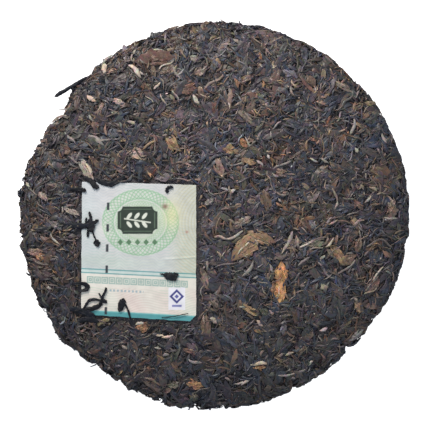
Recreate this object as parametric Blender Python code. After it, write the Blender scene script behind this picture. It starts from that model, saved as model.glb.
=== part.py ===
"""A pressed cake of pu erh tea, with a paper ticket bedded in its face.

The cake lies on its back with the face up. +Z is up and +Y is towards the top of the face. The
origin is on the table, under the middle of the cake. Lengths are in metres and angles in degrees.
"""

import math
import random

import bmesh
import bpy
import numpy as np
from mathutils import Quaternion, Vector, noise
from mathutils.bvhtree import BVHTree

MM = 0.001
SEED = 357

# The cake's smooth form, a turned section
CAKE_RADIUS = 99.9 * MM  # to the pressed leaf; the ends of leaves stand out past it
CAKE_THICKNESS = 24.2 * MM
RIM_HEIGHT = 9.5 * MM  # of the widest part, above the table
FACE_ROUNDNESS = 2.5  # 2 is an ellipse, more is a flatter face with a tighter shoulder
BACK_ROUNDNESS = 2.2
REST_RADIUS = 70 * MM  # the back is flat inside this, and turns up to the rim outside it
HOLLOW_RADIUS = 27 * MM  # the press cloth's knot leaves this hollow in the back
HOLLOW_DEPTH = 10 * MM
PRESSED_BELOW = 0.25 * MM  # how much of the back the table plane takes off flat

# Where the outline is flatter than a circle: direction, depth and half-width
OUTLINE_FLATS = (
    (148, 3.6 * MM, 7),
    (137, 3.6 * MM, 26),
    (316, 2.3 * MM, 28),
    (236, 1.8 * MM, 9),
    (66, 0.9 * MM, 7),
)

FLATS_FADE = 4  # towards the axis the flats fade by this power of the radius

# The pressed leaf's relief: size across and height of lumps and of smaller ridges
LUMP_SIZE, LUMP_HEIGHT = 19 * MM, 1.1 * MM
RIDGE_SIZE, RIDGE_HEIGHT = 9 * MM, 0.9 * MM

CORE_SUBDIVISIONS = 5  # of the icosphere that the core is shaped from
CORE_KEPT = 0.46  # share of its triangles, the flatter ones going first
SECTION_STEPS = 200
BEND_STRETCH = 9 * MM  # a bend of one radian gets as many points as this length

# Sections across a leaf, as (share of its half-width, share of its height) from the left edge over
# the top to the right edge. The root is below, in the cake.
ROUND_SECTION = ((-1.0, 0.2), (-0.1, 1.0), (1.0, 0.15))
CURLED_SECTION = ((-1.0, 0.9), (0.15, 0.45), (1.0, 1.0))
ROOT_DEPTH = 1.0 * MM
END_WIDTH, TAPER_POWER = 0.35, 0.6  # a leaf's width at its ends as a share, and how fast it fills

# Kinds of leaf that show on their own: length and width from least to most, height, section, parts
LEAF_KINDS = {
    "rolled": {"length": (13, 21), "width": (2.8, 4.2), "height": 1.2, "section": ROUND_SECTION, "steps": 4},
    "flat": {"length": (11, 16), "width": (5.0, 8.0), "height": 1.1, "section": CURLED_SECTION, "steps": 3},
    "stem": {"length": (13, 20), "width": (1.4, 2.0), "height": 1.0, "section": ROUND_SECTION, "steps": 3},
    "bud": {"length": (8, 12), "width": (2.4, 3.2), "height": 1.3, "section": ROUND_SECTION, "steps": 3},
}
KINDS_IN_TURN = ("rolled", "flat", "rolled", "stem", "rolled", "bud", "flat")
GOLDEN_ANGLE = 137.508
FACE_LEAVES, FACE_REACH = 74, 0.93  # how many, and the share of the radius that they reach
BACK_LEAVES, BACK_REACH = 20, 0.95
RIM_LEAVES, RIM_REACH = 32, 1.05
MOST_BEND = 45  # from one end of a leaf to the other
TIP_DEPTH = 0.2 * MM  # a scattered leaf's ends go this far into the cake

# The ticket: its corners on the face, in x and y, and its paper
TICKET_CORNERS = {
    "bottom_left": (-67.8 * MM, -49.6 * MM),
    "bottom_right": (-8.7 * MM, -54.2 * MM),
    "top_right": (-8.7 * MM, 15.4 * MM),
    "top_left": (-67.3 * MM, 17.2 * MM),
}
TICKET_CUT_CORNER = 3.4 * MM  # taken off the lower right corner
TICKET_THICKNESS = 0.25 * MM
TICKET_LIFT = 0.35 * MM  # of its upper side above the smooth face
TICKET_CELLS = 8
TICKET_BORDER = 1.5 * MM  # kept free of scattered leaves
CLEARANCE = 0.3 * MM
POCKET_HEIGHT = 5 * MM  # the pocket's cutter reaches this far above the face

# Leaves that lie over the ticket, rooted in the cake beside it: route in millimetres, from the
# root in, and width
OVER_TICKET = {
    "corner_band": (((-73, 11.5), (-66, 12.6), (-60, 13.2), (-56, 14.6), (-51, 16.4), (-47, 20)), 2.4),
    "spray_root": (((-73, -8), (-67, -7), (-62, -6.5), (-59, -5.5)), 4.4),
    "spray_up": (((-72, -6), (-65, -4.5), (-63, -1), (-64.5, 3.5)), 1.5),
    "spray_right": (((-72, -7), (-64, -6), (-61, -3.5), (-57.5, -1.6)), 2.0),
    "spray_bud": (((-73, -9), (-65, -8.5), (-62, -11.5), (-59.4, -15.5)), 2.2),
    "spray_down": (((-73, -7.5), (-66, -7.5), (-64.6, -12)), 1.6),
    "left_hook": (((-73, -33.5), (-67, -34), (-64.3, -34.8), (-64.2, -37.3)), 2.6),
    "fork_leg": (((-66.5, -55), (-63, -49), (-59.5, -45), (-57.2, -41), (-55, -35.5)), 2.2),
    "fork_loop": (((-73, -48), (-66, -46), (-62, -42.2), (-57.5, -42.6), (-54.6, -44.6)), 1.6),
    "fork_arm": (((-69, -56), (-62.5, -50), (-60, -44.5), (-59.6, -38.6)), 1.3),
    "corner_mass": (((-75, -49), (-68, -47.5), (-61, -48)), 4.4),
    "corner_edge": (((-66, -57), (-64, -52), (-60, -50), (-56, -52), (-53, -56)), 3.6),
    "bud_stem": (((-42, -57), (-43, -50.5), (-44.4, -46.8), (-46.5, -44)), 1.4),
    "dark_bud": (((-49.5, -56), (-49, -49), (-48, -45.5), (-47.6, -42)), 2.6),
    "top_bit": (((-20.5, 19.5), (-22, 14.5), (-23.7, 10.8)), 1.9),
}
OVER_HEIGHT = 0.8 * MM
OVER_STEP = 2.1 * MM  # between a leaf's sections, where it climbs over the ticket's edge
OVER_MARGIN = 2.4 * MM  # round the ticket, where a leaf above it already rides high

# The one leaf that lies on the ticket alone
LINE_BUD_ROUTE = ((-27.4, -30.4), (-24.2, -31.2), (-20.0, -30.6), (-18.2, -29.8))
LINE_BUD_WIDTH = 3.8 * MM

# The twig that stands out past the rim, as a route of x, y and z in millimetres
TWIG_ROUTE = ((-52, 72, 15), (-60, 71.5, 13.5), (-66, 69.6, 12.5), (-73, 65.8, 11.8), (-80.6, 61.3, 11.4))
TWIG_WIDTH, TWIG_HEIGHT = 1.7 * MM, 1.3 * MM
SPUR_ROUTE = ((-66.5, 57, 11.5), (-70.5, 61.5, 11.6), (-72.5, 65.4, 11.8))


def clear_scene():
    for obj in list(bpy.data.objects):
        bpy.data.objects.remove(obj)


def make_material(name, colour, roughness):
    material = bpy.data.materials.new(name)
    material.use_nodes = True
    shader = material.node_tree.nodes["Principled BSDF"]
    shader.inputs["Base Color"].default_value = (*colour, 1)
    shader.inputs["Roughness"].default_value = roughness
    shader.inputs["Metallic"].default_value = 0
    return material


def apply_modifiers(obj):
    bpy.context.view_layer.update()
    shaped = bpy.data.meshes.new_from_object(obj.evaluated_get(bpy.context.evaluated_depsgraph_get()))
    obj.modifiers.clear()
    obj.data = shaped


def object_from(name, bm, collection=None):
    """A mesh object of the bmesh, with its faces pointing out."""
    bmesh.ops.recalc_face_normals(bm, faces=bm.faces)
    mesh = bpy.data.meshes.new(name)
    bm.to_mesh(mesh)
    bm.free()
    obj = bpy.data.objects.new(name, mesh)
    (collection or bpy.context.scene.collection).objects.link(obj)
    return obj


# ---- The cake's smooth form


def face_height(radius):
    """Height of the domed face at a distance from the axis."""
    share = min(radius / CAKE_RADIUS, 1.0)
    dome = (1 - share**FACE_ROUNDNESS) ** (1 / FACE_ROUNDNESS)
    return RIM_HEIGHT + (CAKE_THICKNESS - RIM_HEIGHT) * dome


def back_height(radius):
    """Height of the back: hollow in the middle, flat where it rests, then turned up to the rim."""
    outside = min(max(0.0, (radius - REST_RADIUS) / (CAKE_RADIUS - REST_RADIUS)), 1.0)
    turned_up = RIM_HEIGHT * (1 - (1 - outside**BACK_ROUNDNESS) ** (1 / BACK_ROUNDNESS))
    inside = max(0.0, 1 - radius / HOLLOW_RADIUS)
    hollow = HOLLOW_DEPTH * (1 - math.cos(math.pi * inside)) / 2
    return turned_up + hollow - PRESSED_BELOW


def section_points():
    """(radius, height) from the middle of the face, over the rim, to the middle of the back."""
    radii = CAKE_RADIUS * np.sin(np.linspace(0, math.pi / 2, SECTION_STEPS))
    face = [(radius, face_height(radius)) for radius in radii]
    back = [(radius, back_height(radius)) for radius in radii[::-1]]
    return np.array(face + back[1:])


def spread_along(section):
    """Each point's place along the section, from 0 to 1, with the bends stretched."""
    steps = np.diff(section, axis=0)
    headings = np.unwrap(np.arctan2(steps[:, 1], steps[:, 0]))
    bends = np.abs(np.diff(headings, append=headings[-1]))
    places = np.cumsum(np.hypot(steps[:, 0], steps[:, 1]) + BEND_STRETCH * bends)
    return np.concatenate([[0.0], places]) / places[-1]


def outline_scale(x, y):
    """The outline's radius in the direction of x and y, as a share of the round one."""
    direction = math.degrees(math.atan2(y, x))
    lost = 0.0
    for centre, depth, width in OUTLINE_FLATS:
        away = (direction - centre + 180) % 360 - 180
        lost += depth * math.exp(-((away / width) ** 2))
    return 1 - lost / CAKE_RADIUS


def relief(point):
    """How far the pressed leaf stands above the smooth form at a point."""
    lump = noise.noise(point / LUMP_SIZE) * LUMP_HEIGHT
    ridge = noise.noise(point / RIDGE_SIZE) * RIDGE_HEIGHT
    return lump + ridge


def shape_core():
    """The cake without its loose leaves, shaped from an icosphere by its turned section."""
    section = section_points()
    places = spread_along(section)
    bm = bmesh.new()
    bmesh.ops.create_icosphere(bm, subdivisions=CORE_SUBDIVISIONS, radius=1)
    for vertex in bm.verts:
        x, y, z = vertex.co
        place = math.acos(max(-1.0, min(1.0, z))) / math.pi
        radius = np.interp(place, places, section[:, 0])
        height = np.interp(place, places, section[:, 1])
        around = math.hypot(x, y) or 1.0
        flattened = 1 - (1 - outline_scale(x, y)) * (radius / CAKE_RADIUS) ** FLATS_FADE
        vertex.co = (x / around * radius * flattened, y / around * radius * flattened, height)
    bm.normal_update()
    for vertex, normal in [(v, v.normal.copy()) for v in bm.verts]:
        vertex.co += normal * relief(vertex.co)
    core = object_from("tea_cake", bm)
    modifier = core.modifiers.new("fewer", "DECIMATE")
    modifier.ratio = CORE_KEPT
    apply_modifiers(core)
    return core


# ---- Leaves


def leaf_from_sections(name, sections, tips, collection):
    """A closed leaf skinned over rings of points, and drawn to a point at both ends."""
    bm = bmesh.new()
    rings = [[bm.verts.new(point) for point in section] for section in sections]
    ends = [bm.verts.new(tip) for tip in tips]
    count = len(rings[0])
    for near, far in zip(rings, rings[1:]):
        for i in range(count):
            j = (i + 1) % count
            bm.faces.new((near[i], near[j], far[j]))
            bm.faces.new((near[i], far[j], far[i]))
    for ring, end in ((rings[0], ends[0]), (rings[-1], ends[1])):
        for i in range(count):
            bm.faces.new((ring[i], ring[(i + 1) % count], end))
    return object_from(name, bm, collection)


def taper(share):
    """Width of a leaf at a share of its length: full over the middle, narrow at both ends."""
    return END_WIDTH + (1 - END_WIDTH) * math.sin(math.pi * share) ** TAPER_POWER


def walk_on(surface, start, heading, length, bend, steps):
    """Places along a leaf that lies on the surface: (point, normal, sideways) for each."""
    point, normal, _, _ = surface.find_nearest(start)
    places = []
    for _ in range(steps + 1):
        heading = (heading - normal * heading.dot(normal)).normalized()
        places.append((point, normal, normal.cross(heading)))
        heading = Quaternion(normal, math.radians(bend) / steps) @ heading
        point, normal, _, _ = surface.find_nearest(point + heading * length / steps)
    return places


def scattered_leaf(name, kind, surface, start, heading, draw, collection):
    """One leaf of a kind, pressed on the surface from a start. None if it would reach the ticket."""
    form = LEAF_KINDS[kind]
    length = draw.uniform(*form["length"]) * MM
    width = draw.uniform(*form["width"]) * MM
    height = form["height"] * MM
    bend = draw.uniform(-MOST_BEND, MOST_BEND)
    places = walk_on(surface, start, heading, length, bend, form["steps"])
    if any(near_ticket(point, width / 2 + TICKET_BORDER) for point, _, _ in places):
        return None
    sections = []
    for index, (point, normal, sideways) in enumerate(places[1:-1], 1):
        half = width / 2 * taper(index / form["steps"])
        ring = []
        for across, above in form["section"]:
            foot, outward, _, _ = surface.find_nearest(point + sideways * across * half)
            ring.append(foot + outward * above * height)
        ring.append(point - normal * ROOT_DEPTH)
        sections.append(ring)
    tips = [places[end][0] - places[end][1] * TIP_DEPTH for end in (0, -1)]
    return leaf_from_sections(name, sections, tips, collection)


def scatter_leaves(surface, collection):
    """Leaves spread evenly by the golden angle over the face and back, and round the rim."""
    draw = random.Random(SEED)
    spots = []
    for index in range(FACE_LEAVES):
        spots.append((index, math.sqrt((index + 0.5) / FACE_LEAVES) * FACE_REACH, CAKE_THICKNESS))
    for index in range(BACK_LEAVES):
        spots.append((index, math.sqrt((index + 0.5) / BACK_LEAVES) * BACK_REACH, -CAKE_THICKNESS))
    for index in range(RIM_LEAVES):
        spots.append((index, RIM_REACH, RIM_HEIGHT * draw.uniform(0.5, 1.5)))
    for number, (index, share, height) in enumerate(spots):
        angle = math.radians(index * GOLDEN_ANGLE)
        start = Vector((math.cos(angle), math.sin(angle), 0)) * share * CAKE_RADIUS
        start.z = height
        heading = Vector((1, 0, draw.uniform(-0.5, 0.5)))
        heading.rotate(Quaternion((0, 0, 1), draw.uniform(0, 2 * math.pi)))
        kind = KINDS_IN_TURN[number % len(KINDS_IN_TURN)]
        scattered_leaf(f"leaf_{number}", kind, surface, start, heading, draw, collection)


# ---- The ticket


def ticket_point(u, v, margin=0.0):
    """x and y of a point of the ticket: u and v run from 0 to 1 from its lower left corner."""
    corners = {name: Vector(corner) for name, corner in TICKET_CORNERS.items()}
    middle = sum(corners.values(), Vector((0, 0))) / 4
    for name, corner in corners.items():
        outward = corner - middle
        corners[name] = corner + Vector((math.copysign(margin, outward.x), math.copysign(margin, outward.y)))
    bottom = corners["bottom_left"].lerp(corners["bottom_right"], u)
    top = corners["top_left"].lerp(corners["top_right"], u)
    return bottom.lerp(top, v)


def near_ticket(point, margin):
    """Whether a point of the face is over the ticket, or within a margin of its edges."""
    left, right = TICKET_CORNERS["bottom_left"][0], TICKET_CORNERS["bottom_right"][0]
    u = min(max((point.x - left) / (right - left), 0.0), 1.0)
    bottom, top = ticket_point(u, 0, margin).y, ticket_point(u, 1, margin).y
    return left - margin < point.x < right + margin and bottom < point.y < top and point.z > RIM_HEIGHT


def on_face(x, y, offset):
    """The point of the smooth face at x and y, raised by an offset."""
    return Vector((x, y, face_height(math.hypot(x, y)) + offset))


def ticket_slab(name, margin, lower, upper):
    """A sheet of the ticket's outline plus a margin, between two offsets from the smooth face."""
    bm = bmesh.new()
    bmesh.ops.create_grid(bm, x_segments=TICKET_CELLS, y_segments=TICKET_CELLS, size=0.5)
    for vertex in bm.verts:
        flat = ticket_point(vertex.co.x + 0.5, vertex.co.y + 0.5, margin)
        vertex.co = (flat.x, flat.y, 0)
    corner = ticket_point(1, 0, margin) + Vector((-TICKET_CUT_CORNER, TICKET_CUT_CORNER)) / 2
    bmesh.ops.bisect_plane(
        bm,
        geom=bm.verts[:] + bm.edges[:] + bm.faces[:],
        plane_co=(corner.x, corner.y, 0),
        plane_no=(1, -1, 0),
        clear_outer=True,
    )
    bmesh.ops.triangulate(bm, faces=bm.faces)
    for vertex in bm.verts:
        vertex.co = on_face(vertex.co.x, vertex.co.y, lower)
    raised = bmesh.ops.extrude_face_region(bm, geom=bm.faces[:])["geom"]
    for vertex in (v for v in raised if isinstance(v, bmesh.types.BMVert)):
        vertex.co.z += upper - lower
    return object_from(name, bm)


def densify(route, step):
    """Points along a smooth curve through the route's own points, no further apart than a step."""
    stops = [Vector(point).to_3d() * MM for point in route]
    padded = [2 * stops[0] - stops[1]] + stops + [2 * stops[-1] - stops[-2]]
    points = [stops[0]]
    for a, b, c, d in zip(padded, padded[1:], padded[2:], padded[3:]):
        parts = max(1, math.ceil((c - b).length / step))
        for k in range(1, parts + 1):
            t = k / parts
            points.append(((2 * b) + (c - a) * t + (2 * a - 5 * b + 4 * c - d) * t**2
                           + (3 * b - a - 3 * c + d) * t**3) / 2)
    return points


def routed_sections(points, width, section, place_of):
    """Rings across a leaf along a route. place_of gives the point over x and y at a share of the
    leaf's height, and the point of its root for None."""
    rings = []
    for index in range(1, len(points) - 1):
        along = (points[index + 1] - points[index - 1]).normalized()
        sideways = Vector((along.y, -along.x, 0)).normalized()
        half = width / 2 * taper(index / (len(points) - 1))
        ring = [place_of(points[index] + sideways * across * half, above) for across, above in section]
        rings.append(ring + [place_of(points[index], None)])
    return rings


def leaves_over_ticket(surface, collection):
    """Leaves that hold the ticket down: rooted in the cake beside it, and clear above its paper."""
    ticket_top = TICKET_LIFT + CLEARANCE

    def place(point, above):
        if near_ticket(Vector((point.x, point.y, CAKE_THICKNESS)), OVER_MARGIN):
            raised = 0.0 if above is None else max(above, 0.3) * OVER_HEIGHT
            return on_face(point.x, point.y, ticket_top + raised)
        drop = Vector((point.x, point.y, CAKE_THICKNESS * 2))
        foot = surface.ray_cast(drop, Vector((0, 0, -1)))[0] or on_face(point.x, point.y, 0)
        return foot + Vector((0, 0, -ROOT_DEPTH if above is None else above * OVER_HEIGHT))

    for name, (route, width) in OVER_TICKET.items():
        points = densify(route, OVER_STEP)
        sections = routed_sections(points, width * MM, ROUND_SECTION, place)
        tips = [place(points[0], 0.0) - Vector((0, 0, ROOT_DEPTH / 2)), place(points[-1], 0.4)]
        leaf_from_sections(name, sections, tips, collection)


def bud_on_ticket(ticket):
    """A leaf scrap stuck to the ticket's paper alone, fused to it."""
    sink = TICKET_THICKNESS / 2

    def place(point, above):
        return on_face(point.x, point.y, TICKET_LIFT - sink + (above or 0.0) * OVER_HEIGHT)

    points = densify(LINE_BUD_ROUTE, 2 * OVER_STEP)
    sections = routed_sections(points, LINE_BUD_WIDTH, ROUND_SECTION, place)
    bud = leaf_from_sections("line_bud", sections, [place(points[0], 0.3), place(points[-1], 0.3)], None)
    combine(ticket, "UNION", bud)


# ---- The twig


def twig_from(name, route, collection):
    """A stiff stem in the air beyond the rim, rooted in the cake."""
    points = densify(route, 4 * MM)

    def place(point, above):
        return point + Vector((0, 0, (-0.8 if above is None else above) * TWIG_HEIGHT))

    sections = routed_sections(points, TWIG_WIDTH, ROUND_SECTION, place)
    leaf_from_sections(name, sections, [points[0], points[-1]], collection)


# ---- Joining


def combine(obj, operation, other):
    """A Boolean with an object or a collection, applied, with what it used removed."""
    modifier = obj.modifiers.new(operation.lower(), "BOOLEAN")
    modifier.operation = operation
    modifier.solver = "EXACT"
    used = [other]
    if isinstance(other, bpy.types.Collection):
        modifier.operand_type = "COLLECTION"
        modifier.collection = other
        used = list(other.objects)
    else:
        modifier.object = other
    apply_modifiers(obj)
    for spent in used:
        bpy.data.objects.remove(spent)


def drop_scraps(obj):
    """Removes every loose scrap, leaving the body with the most points."""
    bm = bmesh.new()
    bm.from_mesh(obj.data)
    unseen, bodies = set(bm.verts), []
    while unseen:
        body, reached = set(), [unseen.pop()]
        while reached:
            vertex = reached.pop()
            body.add(vertex)
            beside = {edge.other_vert(vertex) for edge in vertex.link_edges} & unseen
            unseen -= beside
            reached.extend(beside)
        bodies.append(body)
    bodies.sort(key=len)
    for scrap in bodies[:-1]:
        bmesh.ops.delete(bm, geom=list(scrap), context="VERTS")
    bm.to_mesh(obj.data)
    bm.free()


def table_block():
    """Everything under the table plane."""
    bm = bmesh.new()
    bmesh.ops.create_cube(bm, size=3 * CAKE_RADIUS)
    bmesh.ops.translate(bm, verts=bm.verts, vec=(0, 0, -1.5 * CAKE_RADIUS))
    return object_from("table_block", bm)


def build_cake():
    """The cake: its core, less the ticket's pocket, with the leaves that show fused on."""
    cake = shape_core()
    surface = BVHTree.FromObject(cake, bpy.context.evaluated_depsgraph_get())
    loose = bpy.data.collections.new("loose_leaves")
    bpy.context.scene.collection.children.link(loose)
    scatter_leaves(surface, loose)
    leaves_over_ticket(surface, loose)
    twig_from("twig", TWIG_ROUTE, loose)
    twig_from("twig_spur", SPUR_ROUTE, loose)
    floor = TICKET_LIFT - TICKET_THICKNESS - CLEARANCE
    combine(cake, "DIFFERENCE", ticket_slab("pocket", CLEARANCE, floor, POCKET_HEIGHT))
    combine(cake, "UNION", loose)
    bpy.data.collections.remove(loose)
    combine(cake, "DIFFERENCE", table_block())
    drop_scraps(cake)
    cake.data.materials.clear()
    cake.data.materials.append(make_material("pressed_tea", (0.075, 0.062, 0.058), 0.6))
    return cake


def build_ticket():
    """The paper ticket, with the leaf scrap that is stuck to it."""
    ticket = ticket_slab("ticket", 0.0, TICKET_LIFT - TICKET_THICKNESS, TICKET_LIFT)
    bud_on_ticket(ticket)
    ticket.data.materials.clear()
    ticket.data.materials.append(make_material("ticket_paper", (0.68, 0.74, 0.66), 0.8))
    return ticket


clear_scene()
build_cake()
build_ticket()
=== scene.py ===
import math

import bpy
import numpy as np
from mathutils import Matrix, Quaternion, Vector
from mathutils.bvhtree import BVHTree


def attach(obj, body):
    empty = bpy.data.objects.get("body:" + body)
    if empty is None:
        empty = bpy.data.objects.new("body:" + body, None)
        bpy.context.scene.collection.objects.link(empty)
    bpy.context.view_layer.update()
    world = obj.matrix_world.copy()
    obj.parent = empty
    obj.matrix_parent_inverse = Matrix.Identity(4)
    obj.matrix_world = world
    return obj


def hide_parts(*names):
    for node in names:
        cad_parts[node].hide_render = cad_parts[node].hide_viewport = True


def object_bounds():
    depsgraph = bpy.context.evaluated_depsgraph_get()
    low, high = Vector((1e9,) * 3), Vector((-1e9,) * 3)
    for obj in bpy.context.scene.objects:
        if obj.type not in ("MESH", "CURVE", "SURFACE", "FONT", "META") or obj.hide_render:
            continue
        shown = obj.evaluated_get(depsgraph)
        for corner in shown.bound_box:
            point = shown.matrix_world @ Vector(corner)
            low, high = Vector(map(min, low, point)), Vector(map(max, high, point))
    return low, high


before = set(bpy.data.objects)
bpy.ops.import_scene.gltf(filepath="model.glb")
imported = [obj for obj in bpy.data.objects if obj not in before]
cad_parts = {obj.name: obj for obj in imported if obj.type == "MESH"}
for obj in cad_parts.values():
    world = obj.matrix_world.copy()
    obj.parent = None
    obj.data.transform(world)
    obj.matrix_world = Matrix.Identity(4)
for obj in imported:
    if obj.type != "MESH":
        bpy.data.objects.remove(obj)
cadLow, cadHigh = [list(corner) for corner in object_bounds()]
print("frame loaded")

mm = 0.001


# small helpers

def linear(tone):
    # 0-255 screen tones to linear light
    share = np.asarray(tone, float) / 255
    return np.where(share <= 0.04045, share / 12.92, ((share + 0.055) / 1.055) ** 2.4)


def smooth(low, high, value):
    share = np.clip((value - low) / (high - low), 0, 1)
    return share * share * (3 - 2 * share)


def deselectAll():
    if bpy.context.mode != "OBJECT":
        bpy.ops.object.mode_set(mode="OBJECT")
    bpy.ops.object.select_all(action="DESELECT")


def pick(piece):
    deselectAll()
    piece.select_set(True)
    bpy.context.view_layer.objects.active = piece


def startEdit(select):
    bpy.ops.object.mode_set(mode="EDIT")
    bpy.ops.mesh.select_all(action=select)


def stopEdit():
    bpy.ops.object.mode_set(mode="OBJECT")


def aroundDegrees(x, y):
    return np.degrees(np.arctan2(y, x))


def slopeAndUp(normal):
    # halfway between the bed's normal and straight up
    return (normal + Vector((0, 0, 1))).normalized()


def readVectors(piece, key):
    # "co" or "normal" of every point
    values = np.empty(len(piece.data.vertices) * 3, np.float32)
    piece.data.vertices.foreach_get(key, values)
    return values.reshape(-1, 3).astype(float)


def keepInBox(points):
    # nothing stands outside the solid's own box, and what is pressed against its sides keeps its order
    edge, press = 0.02 * mm, np.array((0.3, 0.3, 0.7)) * mm
    for low, side in ((np.array(cadLow), 1), (-np.array(cadHigh), -1)):
        inside = points * side - low - edge
        pressed = press * np.exp(np.minimum(inside - press, 0) / press)
        points = (np.where(inside < press, pressed, inside) + low + edge) * side
    return points


def putPoints(piece, points):
    piece.data.vertices.foreach_set("co", keepInBox(points).astype(np.float32).ravel())
    piece.data.update()


def waves(points, size, seed, count=26):
    # an even random swell with no grid in it, about -1 to 1
    draw = np.random.default_rng(seed)
    ways = draw.normal(size=(count, 3))
    ways /= np.linalg.norm(ways, axis=1)[:, None]
    ways *= (2 * math.pi / (size * draw.uniform(0.7, 1.5, count)))[:, None]
    phase = draw.uniform(0, 2 * math.pi, count)
    return np.sin(points @ ways.T + phase).sum(1) * (0.9 / math.sqrt(count))


def swell(points, sizeAndRise, seed):
    return waves(points, sizeAndRise[0], seed) * sizeAndRise[1]


# small helpers for materials

def newMaterial(name):
    material = bpy.data.materials.new(name)
    material.use_nodes = True
    return material, material.node_tree, material.node_tree.nodes["Principled BSDF"]


def addNode(tree, kind, output, sockets, **settings):
    # a node whose sockets hold a value or take a link, and the output that is asked for
    node = tree.nodes.new("ShaderNode" + kind)
    for key, value in settings.items():
        setattr(node, key, value)
    plugIn(tree, node, sockets)
    return node.outputs[output]


def plugIn(tree, node, sockets):
    for key, value in sockets.items():
        if isinstance(value, bpy.types.NodeSocket):
            tree.links.new(value, node.inputs[key])
        else:
            node.inputs[key].default_value = value


def addNoise(tree, place, size, detail, output="Fac", roughness=0.5):
    sockets = {"Vector": place, "Scale": size, "Detail": detail, "Roughness": roughness}
    return addNode(tree, "TexNoise", output, sockets)


def addRange(tree, value, levels, low=0.3, high=0.7):
    sockets = {"Value": value, "From Min": low, "From Max": high, "To Min": levels[0], "To Max": levels[1]}
    return addNode(tree, "MapRange", "Result", sockets)


def addScale(tree, colour, amount):
    return addNode(tree, "VectorMath", "Vector", {0: colour, "Scale": amount}, operation="SCALE")


def addBump(tree, height, strength, distance, **settings):
    sockets = {"Height": height, "Strength": strength, "Distance": distance}
    return addNode(tree, "Bump", "Normal", sockets, **settings)


# the cake's own form: a turned section like the solid's, flattened and notched round the rim

cakeForm = {
    "radius": 99.9 * mm,
    "thickness": 24.2 * mm,
    "rimHeight": 9.5 * mm,
    "faceRoundness": 2.5,
    "backRoundness": 2.2,
    "restRadius": 70 * mm,
    "hollowRadius": 27 * mm,
    "hollowDepth": 10 * mm,
    "pressedBelow": 0.25 * mm,
    "flatsFade": 4,
    # round the rim: where in degrees, how deep in mm, and half its width in degrees
    "flats": ((146, 3.6, 6), (137, 3.6, 26), (316, 2.3, 28), (236, 1.8, 9), (66, 0.9, 7)),
    # the leaves stand out past the form, so it draws in under them
    "drawnIn": (
        (-10, 0.4, 5), (13, 0.4, 5), (96, 1.2, 22), (109, 1.0, 5), (126, 0.3, 4), (147, 1.2, 5),
        (161, 1.6, 7), (173, -1.4, 4), (190, 1.2, 12), (208, 0.9, 4), (240, 1.4, 17), (275, 0.8, 18),
        (303, 0.5, 12)),
    # small gaps that no leaf bridges
    "notches": (
        (-44.8, 3.4, 0.8), (-65.5, 1.9, 0.5), (-95.7, 2.3, 0.42), (-106, 1.9, 0.45), (-119.7, 2.5, 0.55),
        (-128, 2.3, 0.75)),
}


def faceHeight(radius):
    share = np.minimum(radius / cakeForm["radius"], 1)
    dome = (1 - share ** cakeForm["faceRoundness"]) ** (1 / cakeForm["faceRoundness"])
    return cakeForm["rimHeight"] + (cakeForm["thickness"] - cakeForm["rimHeight"]) * dome


def backHeight(radius):
    power = cakeForm["backRoundness"]
    outside = np.clip((radius - cakeForm["restRadius"]) / (cakeForm["radius"] - cakeForm["restRadius"]), 0, 1)
    turnedUp = cakeForm["rimHeight"] * (1 - (1 - outside ** power) ** (1 / power))
    inside = np.clip(1 - radius / cakeForm["hollowRadius"], 0, 1)
    hollow = cakeForm["hollowDepth"] * (1 - np.cos(math.pi * inside)) / 2
    return turnedUp + hollow - cakeForm["pressedBelow"]


def outlineScale(x, y):
    direction = aroundDegrees(x, y)
    lost = np.zeros_like(direction)
    for centre, depth, width in cakeForm["flats"] + cakeForm["drawnIn"] + cakeForm["notches"]:
        away = (direction - centre + 180) % 360 - 180
        lost += depth * mm * np.exp(-((away / width) ** 2))
    return 1 - lost / cakeForm["radius"]


# the ticket's outline, on the face

ticketPlan = {
    "bottomLeft": (-67.8, -50.4),
    "bottomRight": (-9.1, -54.2),
    "topRight": (-9.1, 15.6),
    "topLeft": (-67.3, 17.3),
    "cutCorner": 3.4,
}


def ticketCorners():
    return {key: np.array(spot) * mm for key, spot in ticketPlan.items() if key != "cutCorner"}


def insideTicket(x, y):
    # how far inside the ticket a point is, in metres, less than 0 outside
    corner = ticketCorners()
    bottomLeft, bottomRight = corner["bottomLeft"], corner["bottomRight"]
    topLeft, topRight = corner["topLeft"], corner["topRight"]
    across = np.clip((x - bottomLeft[0]) / (bottomRight[0] - bottomLeft[0]), 0, 1)
    bottom = bottomLeft[1] + across * (bottomRight[1] - bottomLeft[1])
    top = topLeft[1] + across * (topRight[1] - topLeft[1])
    up = np.clip((y - bottom) / (top - bottom), 0, 1)
    left = bottomLeft[0] + up * (topLeft[0] - bottomLeft[0])
    return np.stack([x - left, topRight[0] - x, y - bottom, top - y]).min(0)


def ticketShare(points, outer):
    # 1 under the ticket, fading to 0 over a strip round it
    share = smooth(-outer, 0.5 * mm, insideTicket(points[:, 0], points[:, 1]))
    return share * (points[:, 2] > cakeForm["rimHeight"])


# the camera, straight above

camera = {"lens": 800, "sensor": 36, "height": 4.8975, "farEnd": 20, "aim": (0.51 * mm, 0.77 * mm)}


def makeCamera():
    bpy.ops.object.camera_add(location=(*camera["aim"], camera["height"]), rotation=(0, 0, 0))
    eye = bpy.context.object
    eye.name = "cakeCamera"
    eye.data.lens = camera["lens"]
    eye.data.sensor_width = camera["sensor"]
    eye.data.clip_end = camera["farEnd"]
    eye.data.dof.use_dof = False
    bpy.context.scene.camera = eye


makeCamera()

# soft studio light, the key low from the upper left

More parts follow.
